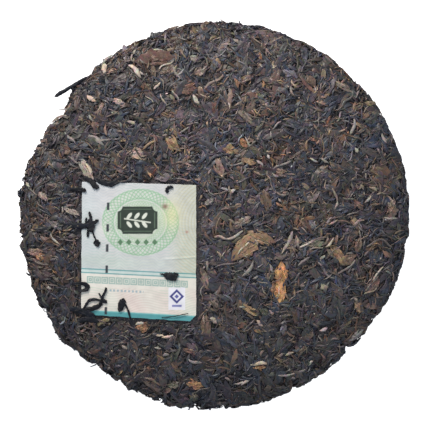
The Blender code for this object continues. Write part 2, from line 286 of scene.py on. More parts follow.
studio = {
    "key": {"place": (-0.34, 0.73, 0.56), "size": 0.42, "power": 9.9, "tone": (1.0, 0.94, 0.87)},
    "fill": {"place": (0.7, -0.5, 0.9), "size": 0.9, "power": 2.0, "tone": (0.86, 0.93, 1.0)},
    "sky": (0.80, 0.88, 0.99),
    "skyStrength": 0.50,
    "floorSize": 6,
    "floorTone": 0.9,
    "floorRoughness": 0.9,
    "floorGlow": 0.92,
}


def makeLight(name, place, size, power, tone):
    bpy.ops.object.light_add(type="AREA", location=place)
    lamp = bpy.context.object
    lamp.name = name
    lamp.data.shape = "DISK"
    lamp.data.size = size
    lamp.data.energy = power
    lamp.data.color = tone
    lamp.rotation_euler = Vector(place).to_track_quat("Z", "Y").to_euler()


def makeStudio():
    for name in ("key", "fill"):
        makeLight(name + "Light", **studio[name])
    world = bpy.data.worlds.new("studioSky")
    bpy.context.scene.world = world
    world.use_nodes = True
    plugIn(world.node_tree, world.node_tree.nodes["Background"],
           {"Color": (*studio["sky"], 1), "Strength": studio["skyStrength"]})
    bpy.ops.mesh.primitive_plane_add(size=studio["floorSize"], location=(0, 0, 0))
    floor = bpy.context.object
    floor.name = "studioFloor"
    paint, tree, shader = newMaterial("floorPaint")
    plugIn(tree, shader, {
        "Base Color": (*[studio["floorTone"]] * 3, 1),
        "Roughness": studio["floorRoughness"],
        "Emission Color": (1, 1, 1, 1),
        "Emission Strength": studio["floorGlow"],
    })
    floor.data.materials.append(paint)
    # the floor is only seen, and the cake's rim isn't lit from below
    floor.visible_diffuse = False
    floor.visible_glossy = False
    view = bpy.context.scene.view_settings
    view.view_transform = "Standard"
    view.look = "None"


makeStudio()
print("camera and studio ready")

# the bed of fine pressed leaf that everything else lies on

teaBed = {
    "subdivisions": 6,
    "sunk": 1.0 * mm,  # below the smooth form, which the leaves on top fill up
    "sunkUnderTicket": 0.35 * mm,
    "lumps": (19 * mm, 0.55 * mm),
    "ridges": (7 * mm, 0.35 * mm),
    "grain": (2.6 * mm, 0.30 * mm),
    "bendStretch": 9 * mm,
    "rimBumps": (6 * mm, 0.7 * mm),
    "rimBetween": (88 * mm, 97 * mm),  # the bumps come in from the first radius to the second
    "ticketFade": 2.5 * mm,
    "grainFade": 1.5 * mm,
    "smoothSide": -5,  # degrees, where the rim is evenest
    "fineBeside": 3.2,  # degrees to each side of a gap in the rim
}


def rimRoughness(x, y):
    # 1 round most of the rim and 0.3 on its even side
    return 1 - 0.75 * smooth(-0.1, 0.3, np.cos(np.arctan2(y, x) - math.radians(teaBed["smoothSide"])))


def crossesNotch(point, reach):
    direction = aroundDegrees(point.x, point.y)
    radius = math.hypot(point.x, point.y)
    reach = math.degrees(reach / cakeForm["radius"])
    return any(abs(direction - centre) < width + reach and radius > cakeForm["radius"] - (depth + 1.5) * mm
               for centre, depth, width in cakeForm["notches"])


def turnedSection():
    radii = cakeForm["radius"] * np.sin(np.linspace(0, math.pi / 2, 300))
    face = np.stack([radii, faceHeight(radii)], 1)
    back = np.stack([radii[::-1], backHeight(radii[::-1])], 1)
    section = np.concatenate([face, back[1:]])
    steps = np.diff(section, axis=0)
    headings = np.unwrap(np.arctan2(steps[:, 1], steps[:, 0]))
    bends = np.abs(np.diff(headings, append=headings[-1]))
    places = np.cumsum(np.hypot(steps[:, 0], steps[:, 1]) + teaBed["bendStretch"] * bends)
    return section, np.concatenate([[0], places]) / places[-1]


def refineNotches(bed, low, high):
    # smaller triangles where the rim has its gaps
    startEdit("DESELECT")
    bpy.ops.mesh.select_mode(type="FACE")
    stopEdit()
    for face in bed.data.polygons:
        place = math.acos(face.center.normalized().z) / math.pi
        direction = aroundDegrees(face.center.x, face.center.y)
        nearGap = any(abs(direction - notch[0]) < teaBed["fineBeside"] for notch in cakeForm["notches"])
        face.select = bool(low < place < high and nearGap)
    bpy.ops.object.mode_set(mode="EDIT")
    bpy.ops.mesh.subdivide(number_cuts=3)
    bpy.ops.mesh.select_all(action="SELECT")
    bpy.ops.mesh.quads_convert_to_tris()
    stopEdit()


def makeBed():
    deselectAll()
    bpy.ops.mesh.primitive_ico_sphere_add(subdivisions=teaBed["subdivisions"], radius=1)
    bed = bpy.context.object
    bed.name = "teaBed"
    section, places = turnedSection()
    nearRim = places[section[:, 0] > 0.95 * cakeForm["radius"]]
    refineNotches(bed, nearRim[0], nearRim[-1])
    ball = readVectors(bed, "co")
    ball /= np.linalg.norm(ball, axis=1)[:, None]
    place = np.arccos(np.clip(ball[:, 2], -1, 1)) / math.pi
    radius = np.interp(place, places, section[:, 0])
    height = np.interp(place, places, section[:, 1])
    around = np.maximum(np.hypot(ball[:, 0], ball[:, 1]), 1e-9)
    fade = (radius / cakeForm["radius"]) ** cakeForm["flatsFade"]
    reach = radius * (1 - (1 - outlineScale(ball[:, 0], ball[:, 1])) * fade) / around
    form = np.stack([ball[:, 0] * reach, ball[:, 1] * reach, height], 1)
    putPoints(bed, form)
    outward = readVectors(bed, "normal")
    onTicket = ticketShare(form, teaBed["ticketFade"])
    nearRim = smooth(*teaBed["rimBetween"], radius) * rimRoughness(form[:, 0], form[:, 1])
    rough = swell(form, teaBed["lumps"], 3) + swell(form, teaBed["ridges"], 4)
    rough += swell(form, teaBed["rimBumps"], 6) * nearRim
    sunk = teaBed["sunk"] * (1 - onTicket) + teaBed["sunkUnderTicket"] * onTicket
    putPoints(bed, form + outward * (rough * (1 - onTicket) - sunk)[:, None])
    return bed


bed = makeBed()
bedSurface = BVHTree.FromObject(bed, bpy.context.evaluated_depsgraph_get())
bedPoints = readVectors(bed, "co")


def roughenBed():
    points = readVectors(bed, "co")
    grain = np.abs(swell(points, teaBed["grain"], 5)) * (1 - ticketShare(points, teaBed["grainFade"]))
    putPoints(bed, points - readVectors(bed, "normal") * grain[:, None])
    bed.data.shade_smooth()


roughenBed()
print("bed ready", len(bed.data.polygons))

# leaves: closed shells, skinned over a ring at each station along the leaf

leafRings = {
    # across from -1 to 1, and height from -1, in the bed, to 1
    "flat": (
        (-1.0, 0.1), (-0.66, 0.8), (-0.2, 0.35), (0.12, 0.55), (0.62, 0.9), (1.0, 0.1), (0.4, -0.8),
        (-0.4, -0.8)),
    "rolled": ((-1.0, 0.0), (-0.55, 0.85), (0.0, 0.5), (0.5, 0.95), (1.0, 0.0), (0.0, -0.9)),
    "round": ((-1.0, 0.0), (-0.45, 0.9), (0.45, 0.9), (1.0, 0.0), (0.0, -0.9)),
    "strip": ((-1.0, 0.0), (0.1, 1.0), (1.0, 0.0), (0.0, -0.8)),
}


def paintPoints(mesh, name, tones):
    tint = mesh.color_attributes.new(name, "FLOAT_COLOR", "POINT")
    filled = np.concatenate([tones, np.ones((len(tones), 1))], 1)
    tint.data.foreach_set("color", filled.astype(np.float32).ravel())


def meshFromArrays(name, points, faces, tones, along):
    # a mesh of many separate shells
    points, tones, along = points.reshape(-1, 3), tones.reshape(-1, 3), along.reshape(-1, 2)
    mesh = bpy.data.meshes.new(name)
    mesh.vertices.add(len(points))
    mesh.vertices.foreach_set("co", keepInBox(points).astype(np.float32).ravel())
    mesh.loops.add(faces.size)
    mesh.loops.foreach_set("vertex_index", faces.astype(np.int32).ravel())
    mesh.polygons.add(len(faces))
    mesh.polygons.foreach_set("loop_start", np.arange(0, faces.size, 3, dtype=np.int32))
    mesh.update(calc_edges=True)
    mesh.validate()
    paintPoints(mesh, "leafTone", tones)
    layer = mesh.uv_layers.new(name="leafUV")
    corners = np.empty(len(mesh.loops), np.int32)
    mesh.loops.foreach_get("vertex_index", corners)
    layer.data.foreach_set("uv", along[corners].astype(np.float32).ravel())
    mesh.shade_smooth()
    mesh.set_sharp_from_angle(angle=math.radians(58))
    piece = bpy.data.objects.new(name, mesh)
    bpy.context.scene.collection.objects.link(piece)
    return piece


def shellFaces(leaves, stations, ring):
    # one leaf's triangles, then the same for every leaf
    i = np.arange(ring)
    j = (i + 1) % ring
    faces = []
    for k in range(stations - 1):
        a, b = k * ring, (k + 1) * ring
        faces.append(np.stack([a + i, b + j, a + j], 1))
        faces.append(np.stack([a + i, b + i, b + j], 1))
    first, last = stations * ring, stations * ring + 1
    faces.append(np.stack([np.full(ring, first), i, j], 1))
    end = (stations - 1) * ring
    faces.append(np.stack([np.full(ring, last), end + j, end + i], 1))
    one = np.concatenate(faces)
    step = stations * ring + 2
    return (one[None] + (np.arange(leaves) * step)[:, None, None]).reshape(-1, 3)


shellLook = {
    "tip": 0.8,  # how far a tip reaches, for a leaf's width at its end
    "leastTip": 0.25 * mm,
    "tipSunk": 0.1 * mm,
    "shade": 0.86,
    "ridgeShade": 0.2,
    "unevenShade": 0.12,
    "tipShade": 0.8,
    "secondShare": 0.34,
    "secondLean": 1.6,
}


def makeShells(name, form, spine, outward, widths, heights, lift, roll, tones, seconds, draw):
    # spine and outward are (leaf, station, 3), widths (leaf, station), and the next three spread to that
    ring = np.array(leafRings[form["ring"]])
    spine, outward = np.array(spine), np.array(outward)
    leaves, stations, _ = spine.shape
    heights, lift, roll = [np.broadcast_to(value, widths.shape) for value in (heights, lift, roll)]
    ahead = np.gradient(spine, axis=1)
    ahead /= np.maximum(np.linalg.norm(ahead, axis=2), 1e-9)[..., None]
    side = np.cross(ahead, outward)
    side /= np.maximum(np.linalg.norm(side, axis=2), 1e-9)[..., None]
    across = ring[None, None, :, 0] * widths[..., None] / 2
    across = across * (1 + form["jag"] * draw.uniform(-1, 1, across.shape))
    above = ring[None, None, :, 1] * heights[..., None]
    above = above + form["crinkle"] * heights[..., None] * draw.uniform(-1, 1, above.shape)
    turn = roll[..., None]
    right = across * np.cos(turn) - above * np.sin(turn)
    up = across * np.sin(turn) + above * np.cos(turn) + lift[..., None]
    shell = spine[:, :, None] + side[:, :, None] * right[..., None] + outward[:, :, None] * up[..., None]
    look = {**shellLook, **form}
    tipReach = np.maximum(widths[:, [0, -1]] * look["tip"], look["leastTip"])
    tips = spine[:, [0, -1]] + outward[:, [0, -1]] * (lift[:, [0, -1]] - look["tipSunk"])[..., None]
    tips[:, 0] -= ahead[:, 0] * tipReach[:, :1]
    tips[:, 1] += ahead[:, -1] * tipReach[:, 1:]
    points = np.concatenate([shell.reshape(leaves, -1, 3), tips], 1)
    # painted highlight and shade: the top of each leaf's section paler and its lower sides darker, partly
    # dust and wear; the edges of some leaves paler, partly wear and partly a painted glint; the points below,
    # in the bed, stay at the base shade, darker than the tops
    shade = look["shade"] + look["ridgeShade"] * ring[None, None, :, 1]
    shade = shade + look["unevenShade"] * draw.uniform(-1, 1, across.shape)
    # the edges of some leaves paler: partly wear, partly a painted glint
    edgeWearAndGlint = form["edge"] * draw.uniform(0, 1, (leaves, 1, 1)) ** 2
    shade = shade * (1 + edgeWearAndGlint * (np.abs(ring[None, None, :, 0]) > 0.9))
    shade[..., ring[:, 1] < 0] = look["shade"]
    # the second tone comes in towards one end and in patches
    share = np.linspace(0, 1, stations)
    lean = draw.uniform(-1, 1, (leaves, 1, 1)) * (share[None, :, None] - 0.5) * look["secondLean"]
    patch = look["secondShare"] * (1 + draw.normal(size=across.shape)) + lean
    patch = np.clip(patch, 0, 1) * form["patch"]
    patch, shade = patch[..., None], shade[..., None]
    colour = (tones[:, None, None] * (1 - patch) + seconds[:, None, None] * patch) * shade
    tipColour = np.repeat(seconds[:, None] * look["tipShade"], 2, axis=1)
    colour = np.concatenate([colour.reshape(leaves, -1, 3), tipColour], 1)
    length = np.linalg.norm(np.diff(spine, axis=1), axis=2).sum(1)
    u = share[None, :, None] * length[:, None, None] / mm + np.zeros(len(ring))
    v = across / mm
    shift = draw.uniform(0, 400, (leaves, 2))
    along = np.stack([u + shift[:, 0, None, None], v + shift[:, 1, None, None]], -1).reshape(leaves, -1, 2)
    ends = np.stack([shift, shift + np.stack([length / mm, 0 * length], 1)], 1)
    along = np.concatenate([along, ends], 1)
    faces = shellFaces(leaves, stations, len(ring))
    print(name, leaves, "leaves", len(faces), "triangles")
    return meshFromArrays(name, points, faces, colour, along)


def walkOver(start, heading, length, bend, wriggle):
    # stations along a leaf pressed on the bed
    point, normal, _, _ = bedSurface.find_nearest(start)
    steps = len(wriggle) - 1
    spine, outward = [], []
    for turn in wriggle:
        heading = (heading - normal * heading.dot(normal)).normalized()
        spine.append(point)
        outward.append(normal)
        heading = Quaternion(normal, (bend + turn) / steps) @ heading
        point, normal, _, _ = bedSurface.find_nearest(point + heading * length / steps)
    return spine, outward


leafTones = {
    # screen tones as they look in the light
    "coal": (55, 54, 59),
    "navy": (51, 57, 71),
    "slate": (62, 65, 76),
    "plum": (74, 60, 69),
    "moss": (73, 73, 61),
    "bark": (88, 72, 63),
    "ash": (102, 94, 92),
    "smoke": (122, 114, 110),
    "dove": (146, 137, 131),
    "straw": (170, 158, 146),
    "pale": (194, 182, 169),
    "tan": (150, 132, 116),
    "blush": (172, 148, 137),
    "pink": (146, 126, 121),
    "dun": (122, 108, 98),
    "rust": (112, 84, 72),
    "clay": (140, 116, 104),
    "brown": (110, 90, 75),
    "honey": (150, 122, 92),
    "gold": (200, 148, 98),
    "amber": (154, 112, 81),
    "ochre": (144, 126, 97),
    "olive": (116, 113, 96),
    "cream": (210, 190, 168),
    "lilac": (116, 109, 118),
    "ink": (24, 26, 34),
}
toneGain = 0.86


def drawTones(draw, mix, count, spread):
    names = list(mix)
    share = np.array([mix[name] for name in names], float)
    picked = draw.choice(len(names), count, p=share / share.sum())
    base = linear([leafTones[name] for name in names])[picked] * toneGain
    bright = np.exp(draw.normal(0, spread, (count, 1)))
    warm = np.exp(draw.normal(0, 0.07, (count, 1)) * np.array([[1.0, 0.1, -1.0]]))
    return base * bright * warm


tintPatches = {
    # size and strength, and the seed
    "bright": (((8 * mm, 0.15), 31), ((22 * mm, 0.13), 32), ((60 * mm, 0.08), 35)),
    "warm": (((11 * mm, 0.12), 33), ((26 * mm, 0.09), 34)),
}


def tintAndPaintedLight(points):
    # parts of the cake are paler, browner or bluer than others at random, and painted light and shade by
    # place come on top
    bright = sum(swell(points, patch, seed) for patch, seed in tintPatches["bright"])
    # painted shade and light by place: darker and bluer towards the bottom, less pale at the left and the
    # right rim, paler above the middle
    x, y = points[:, 0] / mm, points[:, 1] / mm
    bright -= 0.30 * np.clip(-x / 80, 0, 1) * smooth(-20, 50, y) + 0.15 * smooth(55, 90, -x)
    bright -= 0.60 * smooth(10, 78, -y)
    bright += 0.38 * np.exp(-((x - 4) ** 2 + (y - 30) ** 2) / 36 ** 2)
    bright -= 0.16 * smooth(60, 90, x * 0.94 + y * 0.34) * smooth(84, 95, np.hypot(x, y))
    warm = 0.035 + sum(swell(points, patch, seed) for patch, seed in tintPatches["warm"])
    warm -= 0.03 * smooth(0, 60, -y)
    return np.exp(bright[:, None] + warm[:, None] * np.array([[1.0, 0.0, -1.2]]))


# leaves that stand out one by one: form, tone, width, from and to, in millimetres on the face

markedForms = {
    "stem": {
        "ring": "round", "height": 0.42, "lift": 1.1, "ends": 0.55, "bow": 0.12, "crinkle": 0.25,
        "jag": 0.12, "edge": 0.1, "patch": 0.6, "stations": 9, "spread": 0.06,
    },
    "bud": {
        "ring": "round", "height": 0.5, "lift": 1.1, "ends": 0.12, "bow": 0.12, "crinkle": 0.3,
        "jag": 0.16, "edge": 0.2, "patch": 0.6, "stations": 9, "spread": 0.06,
    },
    "leaf": {
        "ring": "flat", "height": 0.4, "lift": 0.95, "ends": 0.5, "bow": 0.06, "crinkle": 0.6,
        "jag": 0.3, "edge": 0.3, "patch": 0.7, "stations": 9, "spread": 0.06,
    },
    # a wide leaf is crumpled into strands that lie side by side on it
    "strand": {
        "ring": "rolled", "height": 0.4, "lift": 1.1, "ends": 0.25, "bow": 0.09, "crinkle": 0.5,
        "jag": 0.25, "edge": 0.3, "patch": 0.7, "stations": 8, "spread": 0.28,
    },
}
strandWidth = 1.0
markedGain = 0.92
markedLeaves = {
    # width, then x and y of one end and the other, in millimetres
    ("stem", "pale"): (
        (1.2, -27.5, 68, -30.5, 65), (1.0, 23.5, 77.5, 24.5, 75), (0.9, -28, 75, -21, 79),
        (1.1, 44, -16, 52, -12.5), (0.9, 12, -20, 18, -13), (1.0, 8.2, 60, 8, 54.6)),
    ("stem", "cream"): ((0.9, 33.5, -36, 32.5, -41),),
    ("stem", "straw"): (
        (1.1, -83.5, -9.5, -78.5, -15), (1.1, -40.6, 86, -42, 79), (1.0, -21.5, 64, -18, 58),
        (1.3, 7, -12, 14.5, -8), (0.9, 16, 40, 18, 36), (1.1, 86.5, -26.5, 80, -35),
        (0.8, -27.5, 62, -24, 56), (0.8, -35, 61, -31, 58), (0.8, -18, 42, -13, 45),
        (0.7, -51, 83, -55, 78)),
    ("stem", "dove"): (
        (1.3, 87.5, -1, 93.5, -1.5), (1.0, 34, 48, 30, 44), (1.0, 65, 53, 63, 48), (1.0, 29, 43, 29, 40),
        (0.8, 7, 26, 14.5, 26.8), (1.1, 60, -1, 57.5, -4), (1.2, 32, -81.5, 42, -80.5),
        (0.7, 53.5, -61.5, 55, -64.5)),
    ("stem", "smoke"): (
        (0.6, -48, 79.5, -42, 79.5), (0.6, 16.3, -75, 16.3, -81), (1.2, 53.5, -24, 61.5, -32),
        (1.3, 72, -23, 63.5, -29.5), (0.8, 31, -14, 35, -11)),
    ("stem", "ash"): (
        (0.8, 15, -59, 20.5, -53.5), (1.2, 42.5, -80.5, 46.5, -79), (1.0, 0.5, -26.5, 12, -24),
        (1.1, 85, -12, 91, -16), (1.0, -70, -57.5, -65.5, -54.5), (1.1, 78, -16, 85, -12),
        (0.9, 55, -26, 57, -31), (1.3, 71, 61.5, 65.5, 55.5)),
    ("stem", "blush"): ((1.3, 0.5, -11, 7, -12), (0.9, -5.4, -51, -4.6, -56)),
    ("stem", "tan"): (
        (1.5, -4.5, 65, 6, 74), (0.8, 48.5, -18, 56, -16.5), (0.8, 20, 92, 24, 88),
        (1.2, 60.5, 13.5, 63, 7.5), (1.0, 77, -40, 83.5, -36.5), (1.0, 61, 71, 68, 65)),
    ("stem", "dun"): ((1.0, 46, -14, 58, -11), (0.9, 0, 11, 8, 13), (1.2, 84.5, -30.5, 77.5, -38.5)),
    ("stem", "honey"): ((1.2, -36, 34, -30, 38),),
    ("stem", "olive"): ((0.8, -4.5, 81, -3, 77), (1.0, 66, 9, 72, 8)),
    ("stem", "brown"): ((0.9, 54.5, 42, 55, 28.5), (1.0, 63, -3, 70, -4.2)),
    ("bud", "pale"): (
        (2.4, -43.5, 77, -37.5, 70.5), (2.2, -10.5, 61.5, -7.5, 57.5), (2.0, 8, 11.3, 10.8, 13),
        (1.5, 27.3, 31, 28.3, 29), (1.8, 18.5, -84, 14, -86.5), (1.8, -40, -55.8, -35.5, -54.8),
        (1.8, 54.2, -59, 57.8, -57.5), (1.2, 48.5, 29, 53, 27.3)),
    ("bud", "cream"): (
        (1.8, -65.5, 27.5, -63.5, 20), (1.2, -30, -60.9, -25, -62.1), (1.3, -26.5, -62.2, -20.8, -60.9),
        (2.2, 19, -76.6, 26.5, -75.8), (1.4, 61, -11.5, 57, -16), (2.4, -59, 79.5, -55.3, 73.5),
        (2.2, -66, 62.5, -61, 58.8)),
    ("bud", "straw"): (
        (1.1, 12.6, -46.6, 15.6, -47.2), (2.4, -1.8, -52.6, 1.2, -54.6), (1.2, -38, 74, -36, 72),
        (2.0, 34.5, -19.5, 40, -8.5), (2.0, -44, 48, -39.5, 46), (1.2, -7, 74, -3.5, 76.5),
        (1.8, 72, 34.5, 73.5, 32), (1.2, -34, 84, -24.5, 84.5), (1.5, 22, 28, 25, 25),
        (1.4, -96.5, 17, -95, 14), (1.6, -85.5, -36.5, -83, -37.5), (1.4, 48.3, -77, 50.8, -74.3),
        (1.6, 56.5, -20.5, 54.5, -23), (1.0, 10, -86.3, 14.5, -84.8)),
    ("bud", "dove"): (
        (2.0, 86, 42, 88.5, 37), (1.4, 63, 7.5, 61.6, 3), (1.4, 77, 6.5, 80, 10.5),
        (1.4, -21, 76, -16.5, 70), (1.3, -76.5, 43, -70.5, 36), (1.8, 71.5, 49.5, 69.5, 41.5),
        (2.4, -64, 40.5, -56.5, 36), (1.8, 10, 90.5, 12.5, 88), (1.0, 77.5, 21.5, 77.8, 18.5),
        (1.6, -13, -73.3, -6.3, -75.3), (1.6, -55, -79.5, -53, -78), (1.5, 28.5, -25, 30, -29),
        (1.2, 54, 29.3, 58.5, 27), (1.2, 33, 8.5, 34.5, 7), (1.6, 20, -23, 14.5, -31),
        (1.2, -58.5, 38, -52, 39.5), (1.4, 29.5, 21.5, 33, 20), (1.4, 7.8, 66.2, 8.2, 62),
        (1.1, 74.5, 64, 72.5, 60), (1.3, -64, 51.5, -61.5, 48), (1.0, -30.5, -67.5, -27, -67.8)),
    ("bud", "smoke"): (
        (1.6, -26, -71.8, -23, -71), (1.3, -74.5, 30.5, -68, 26.5), (1.4, 29.5, 23.5, 40, 28.5),
        (1.2, -4.5, -0.5, -2.5, 2), (1.4, 43, -25.5, 49, -21), (1.2, 74, -5.5, 76.5, -8),
        (1.2, 39, -84, 42, -83.3)),
    ("bud", "ash"): ((1.4, 0, -75.5, 3, -72.5), (1.8, 2, -97, 6.5, -95.5), (1.2, 11.5, 27, 14, 28.5)),
    ("bud", "blush"): ((2.0, 22, -53.5, 25, -56.5), (1.3, 28.3, -48.3, 29.5, -50.8)),
    ("bud", "pink"): ((1.8, 71, -5, 76.5, -2.5), (1.6, -47, -66.5, -44.5, -68.5)),
    ("bud", "clay"): ((1.6, 35, 11.5, 37.5, 12), (2.8, 8.4, 64, 8.4, 56)),
    ("bud", "tan"): (
        (1.6, 72, -42, 73.6, -44), (1.8, 36.5, -71.5, 40.5, -70), (1.8, 42, -10.5, 43, -16),
        (1.8, 79.5, 14.5, 83, 12.5)),
    ("bud", "dun"): (
        (1.0, 70, 17, 71, 13), (0.9, 72.5, 16.2, 73.5, 13.5), (0.9, 75.5, 16, 76.3, 13.5),
        (1.6, 32, -72, 36, -70.5), (1.5, -96, 20.5, -93.5, 23.5), (1.2, 5.5, -83, 8.5, -84.5)),
    ("bud", "amber"): ((1.3, 25, 69, 25, 65), (1.3, 32, 6.5, 35, 4.5), (1.4, -82.5, -28, -80.5, -30)),
    ("leaf", "slate"): (
        (4.5, 5, -60, 12, -66), (3.0, 45, 86, 47, 80), (3.5, 38, 48, 44, 45),
        (3.2, -80, -1.5, -73.5, -3.2)),
    ("leaf", "plum"): ((5.0, -20, -92, -13, -95), (4.0, -13, -66, -8, -71)),
    ("leaf", "moss"): ((3.0, -12, -91, -9, -94.5), (3.0, 24, -47.5, 27.5, -51)),
    ("leaf", "navy"): (
        (4.0, 5, 18, 9, 15.5), (3.5, 34, 18, 37.5, 16), (3.5, 22, 17, 27, 16), (4.5, 63, 3, 71, 4.5),
        (3.0, 55, -24, 58, -28), (4.0, -24, -76, -20, -84), (4.0, -6, -80, -3, -88), (4.5, 56, 57, 62, 60),
        (3.0, 36, 54, 42, 56)),
    ("leaf", "straw"): ((2.4, -76, 3.6, -69.5, 0.5), (4.0, -67, 28, -62.5, 18.5)),
    ("leaf", "dove"): ((2.6, -4.5, 5.5, -1, 8), (3.0, -12, 81, -8, 79.5), (2.4, 69.8, -64.2, 77.5, -58.2)),
    ("leaf", "ash"): ((2.4, -85, -2.5, -78, -7),),
    ("leaf", "blush"): (
        (2.6, -52, 59.5, -45.5, 56.5), (2.4, -89, 11.5, -85.5, 8), (4.5, -42.5, 32.5, -35.5, 31)),
    ("leaf", "lilac"): ((2.6, 36, -54, 35, -60), (3.2, 49, -2.5, 51.5, -7), (3.0, 36, 74, 42, 71)),
    ("leaf", "clay"): (
        (3.5, 32, 23, 37, 20.5), (4.0, 1.5, 28.5, 4.5, 20), (3.0, -6.5, -28, -3, -37),
        (3.5, -94.5, -18.5, -89, -18.5), (2.6, -57, 57.5, -59, 51.5)),
    ("leaf", "tan"): ((4.2, 89.5, 8.5, 92, 4.5), (3.5, -9.5, 72.5, -4.5, 74.5)),
    ("leaf", "dun"): (
        (3.0, 10, -6, 18, -1), (2.4, -1.5, -40.5, 2, -47), (2.4, 63, 68, 71, 64), (3.0, -27, 73, -21, 76),
        (3.0, 13, 53, 20, 47)),
    ("leaf", "gold"): ((6.2, 34.5, -26, 34, -35), (6.0, 33.8, -33, 33.2, -43.5)),
    ("leaf", "honey"): (
        (8.5, 11.5, -20.5, 21, -12.5), (6.0, 18.5, -9.5, 28.5, -13), (5.0, -23.5, 39, -18.5, 34),
        (4.0, 5, 35.5, 11.5, 32.5), (4.5, 60.5, -16.5, 65, -22), (3.5, 15, -46, 21.5, -50.5),
        (4.0, 72.5, -45, 76, -48.5), (3.0, 62.5, -19, 66.5, -25), (2.8, 15.5, 28.4, 20.5, 27)),
    ("leaf", "ochre"): ((2.2, -59, -55.5, -54, -53), (3.4, 78.5, 58, 83, 56.5)),
    ("leaf", "amber"): (
        (3.4, -91.5, -19.5, -87, -22), (4.2, -13, -86, -7, -87), (2.0, 11.5, 70, 12, 66),
        (4.0, -39.5, -57.6, -34, -56.6), (2.4, 30.5, -34, 30.3, -41), (2.6, 13.5, 39, 16.5, 35.5),
        (1.6, 20, -78, 26, -77.6)),
    ("leaf", "olive"): ((3.5, 47, -14.5, 56, -14), (3.0, -23, -87, -18, -86), (2.4, 58, -17.5, 61.5, -21)),
    ("leaf", "brown"): (
        (4.4, -4.8, -51.5, -3.8, -62), (3.2, 80.5, 25, 86, 21.5), (4.0, 48.5, 70.5, 51, 67),
        (4.5, 25.5, 12, 27, 4), (5.2, 90.5, 5, 91, -0.5), (4.2, 66, -24.5, 71, -21),
        (2.6, 74.5, -12, 73, -18)),
    ("leaf", "rust"): (
        (8.0, -36.5, 79.5, -22, 80.5), (5.0, -17, 64, -10.5, 65), (3.0, 0, 58, 1, 52), (3.2, 71, 8, 75, 4),
        (4.0, 84, -33, 78, -38), (2.2, -15, -68.5, -9, -70)),
    ("leaf", "bark"): ((3.5, 44, 36.5, 48, 34), (4.0, -36.5, -84.5, -26.5, -89.5)),
}
keptClear = 0.65  # share of the scattered leaves that keep off a marked one


def markedSpots():
    spots = []
    for (formName, _), leaves in markedLeaves.items():
        for width, *ends in leaves:
            reach = (width * 0.36 if formName == "leaf" else width * 0.3) * mm
            for share in (0.15, 0.38, 0.62, 0.85):
                spot = Vector(ends[:2]) * (1 - share) + Vector(ends[2:]) * share
                spots.append((spot.x * mm, spot.y * mm, reach))
    return np.array(spots)


clearSpots = markedSpots()


def coversMarked(point):
    away = np.hypot(clearSpots[:, 0] - point.x, clearSpots[:, 1] - point.y)
    return bool((away < clearSpots[:, 2] + 0.5 * mm).any())


# the kinds of leaf that lie scattered all over, from the lowest up

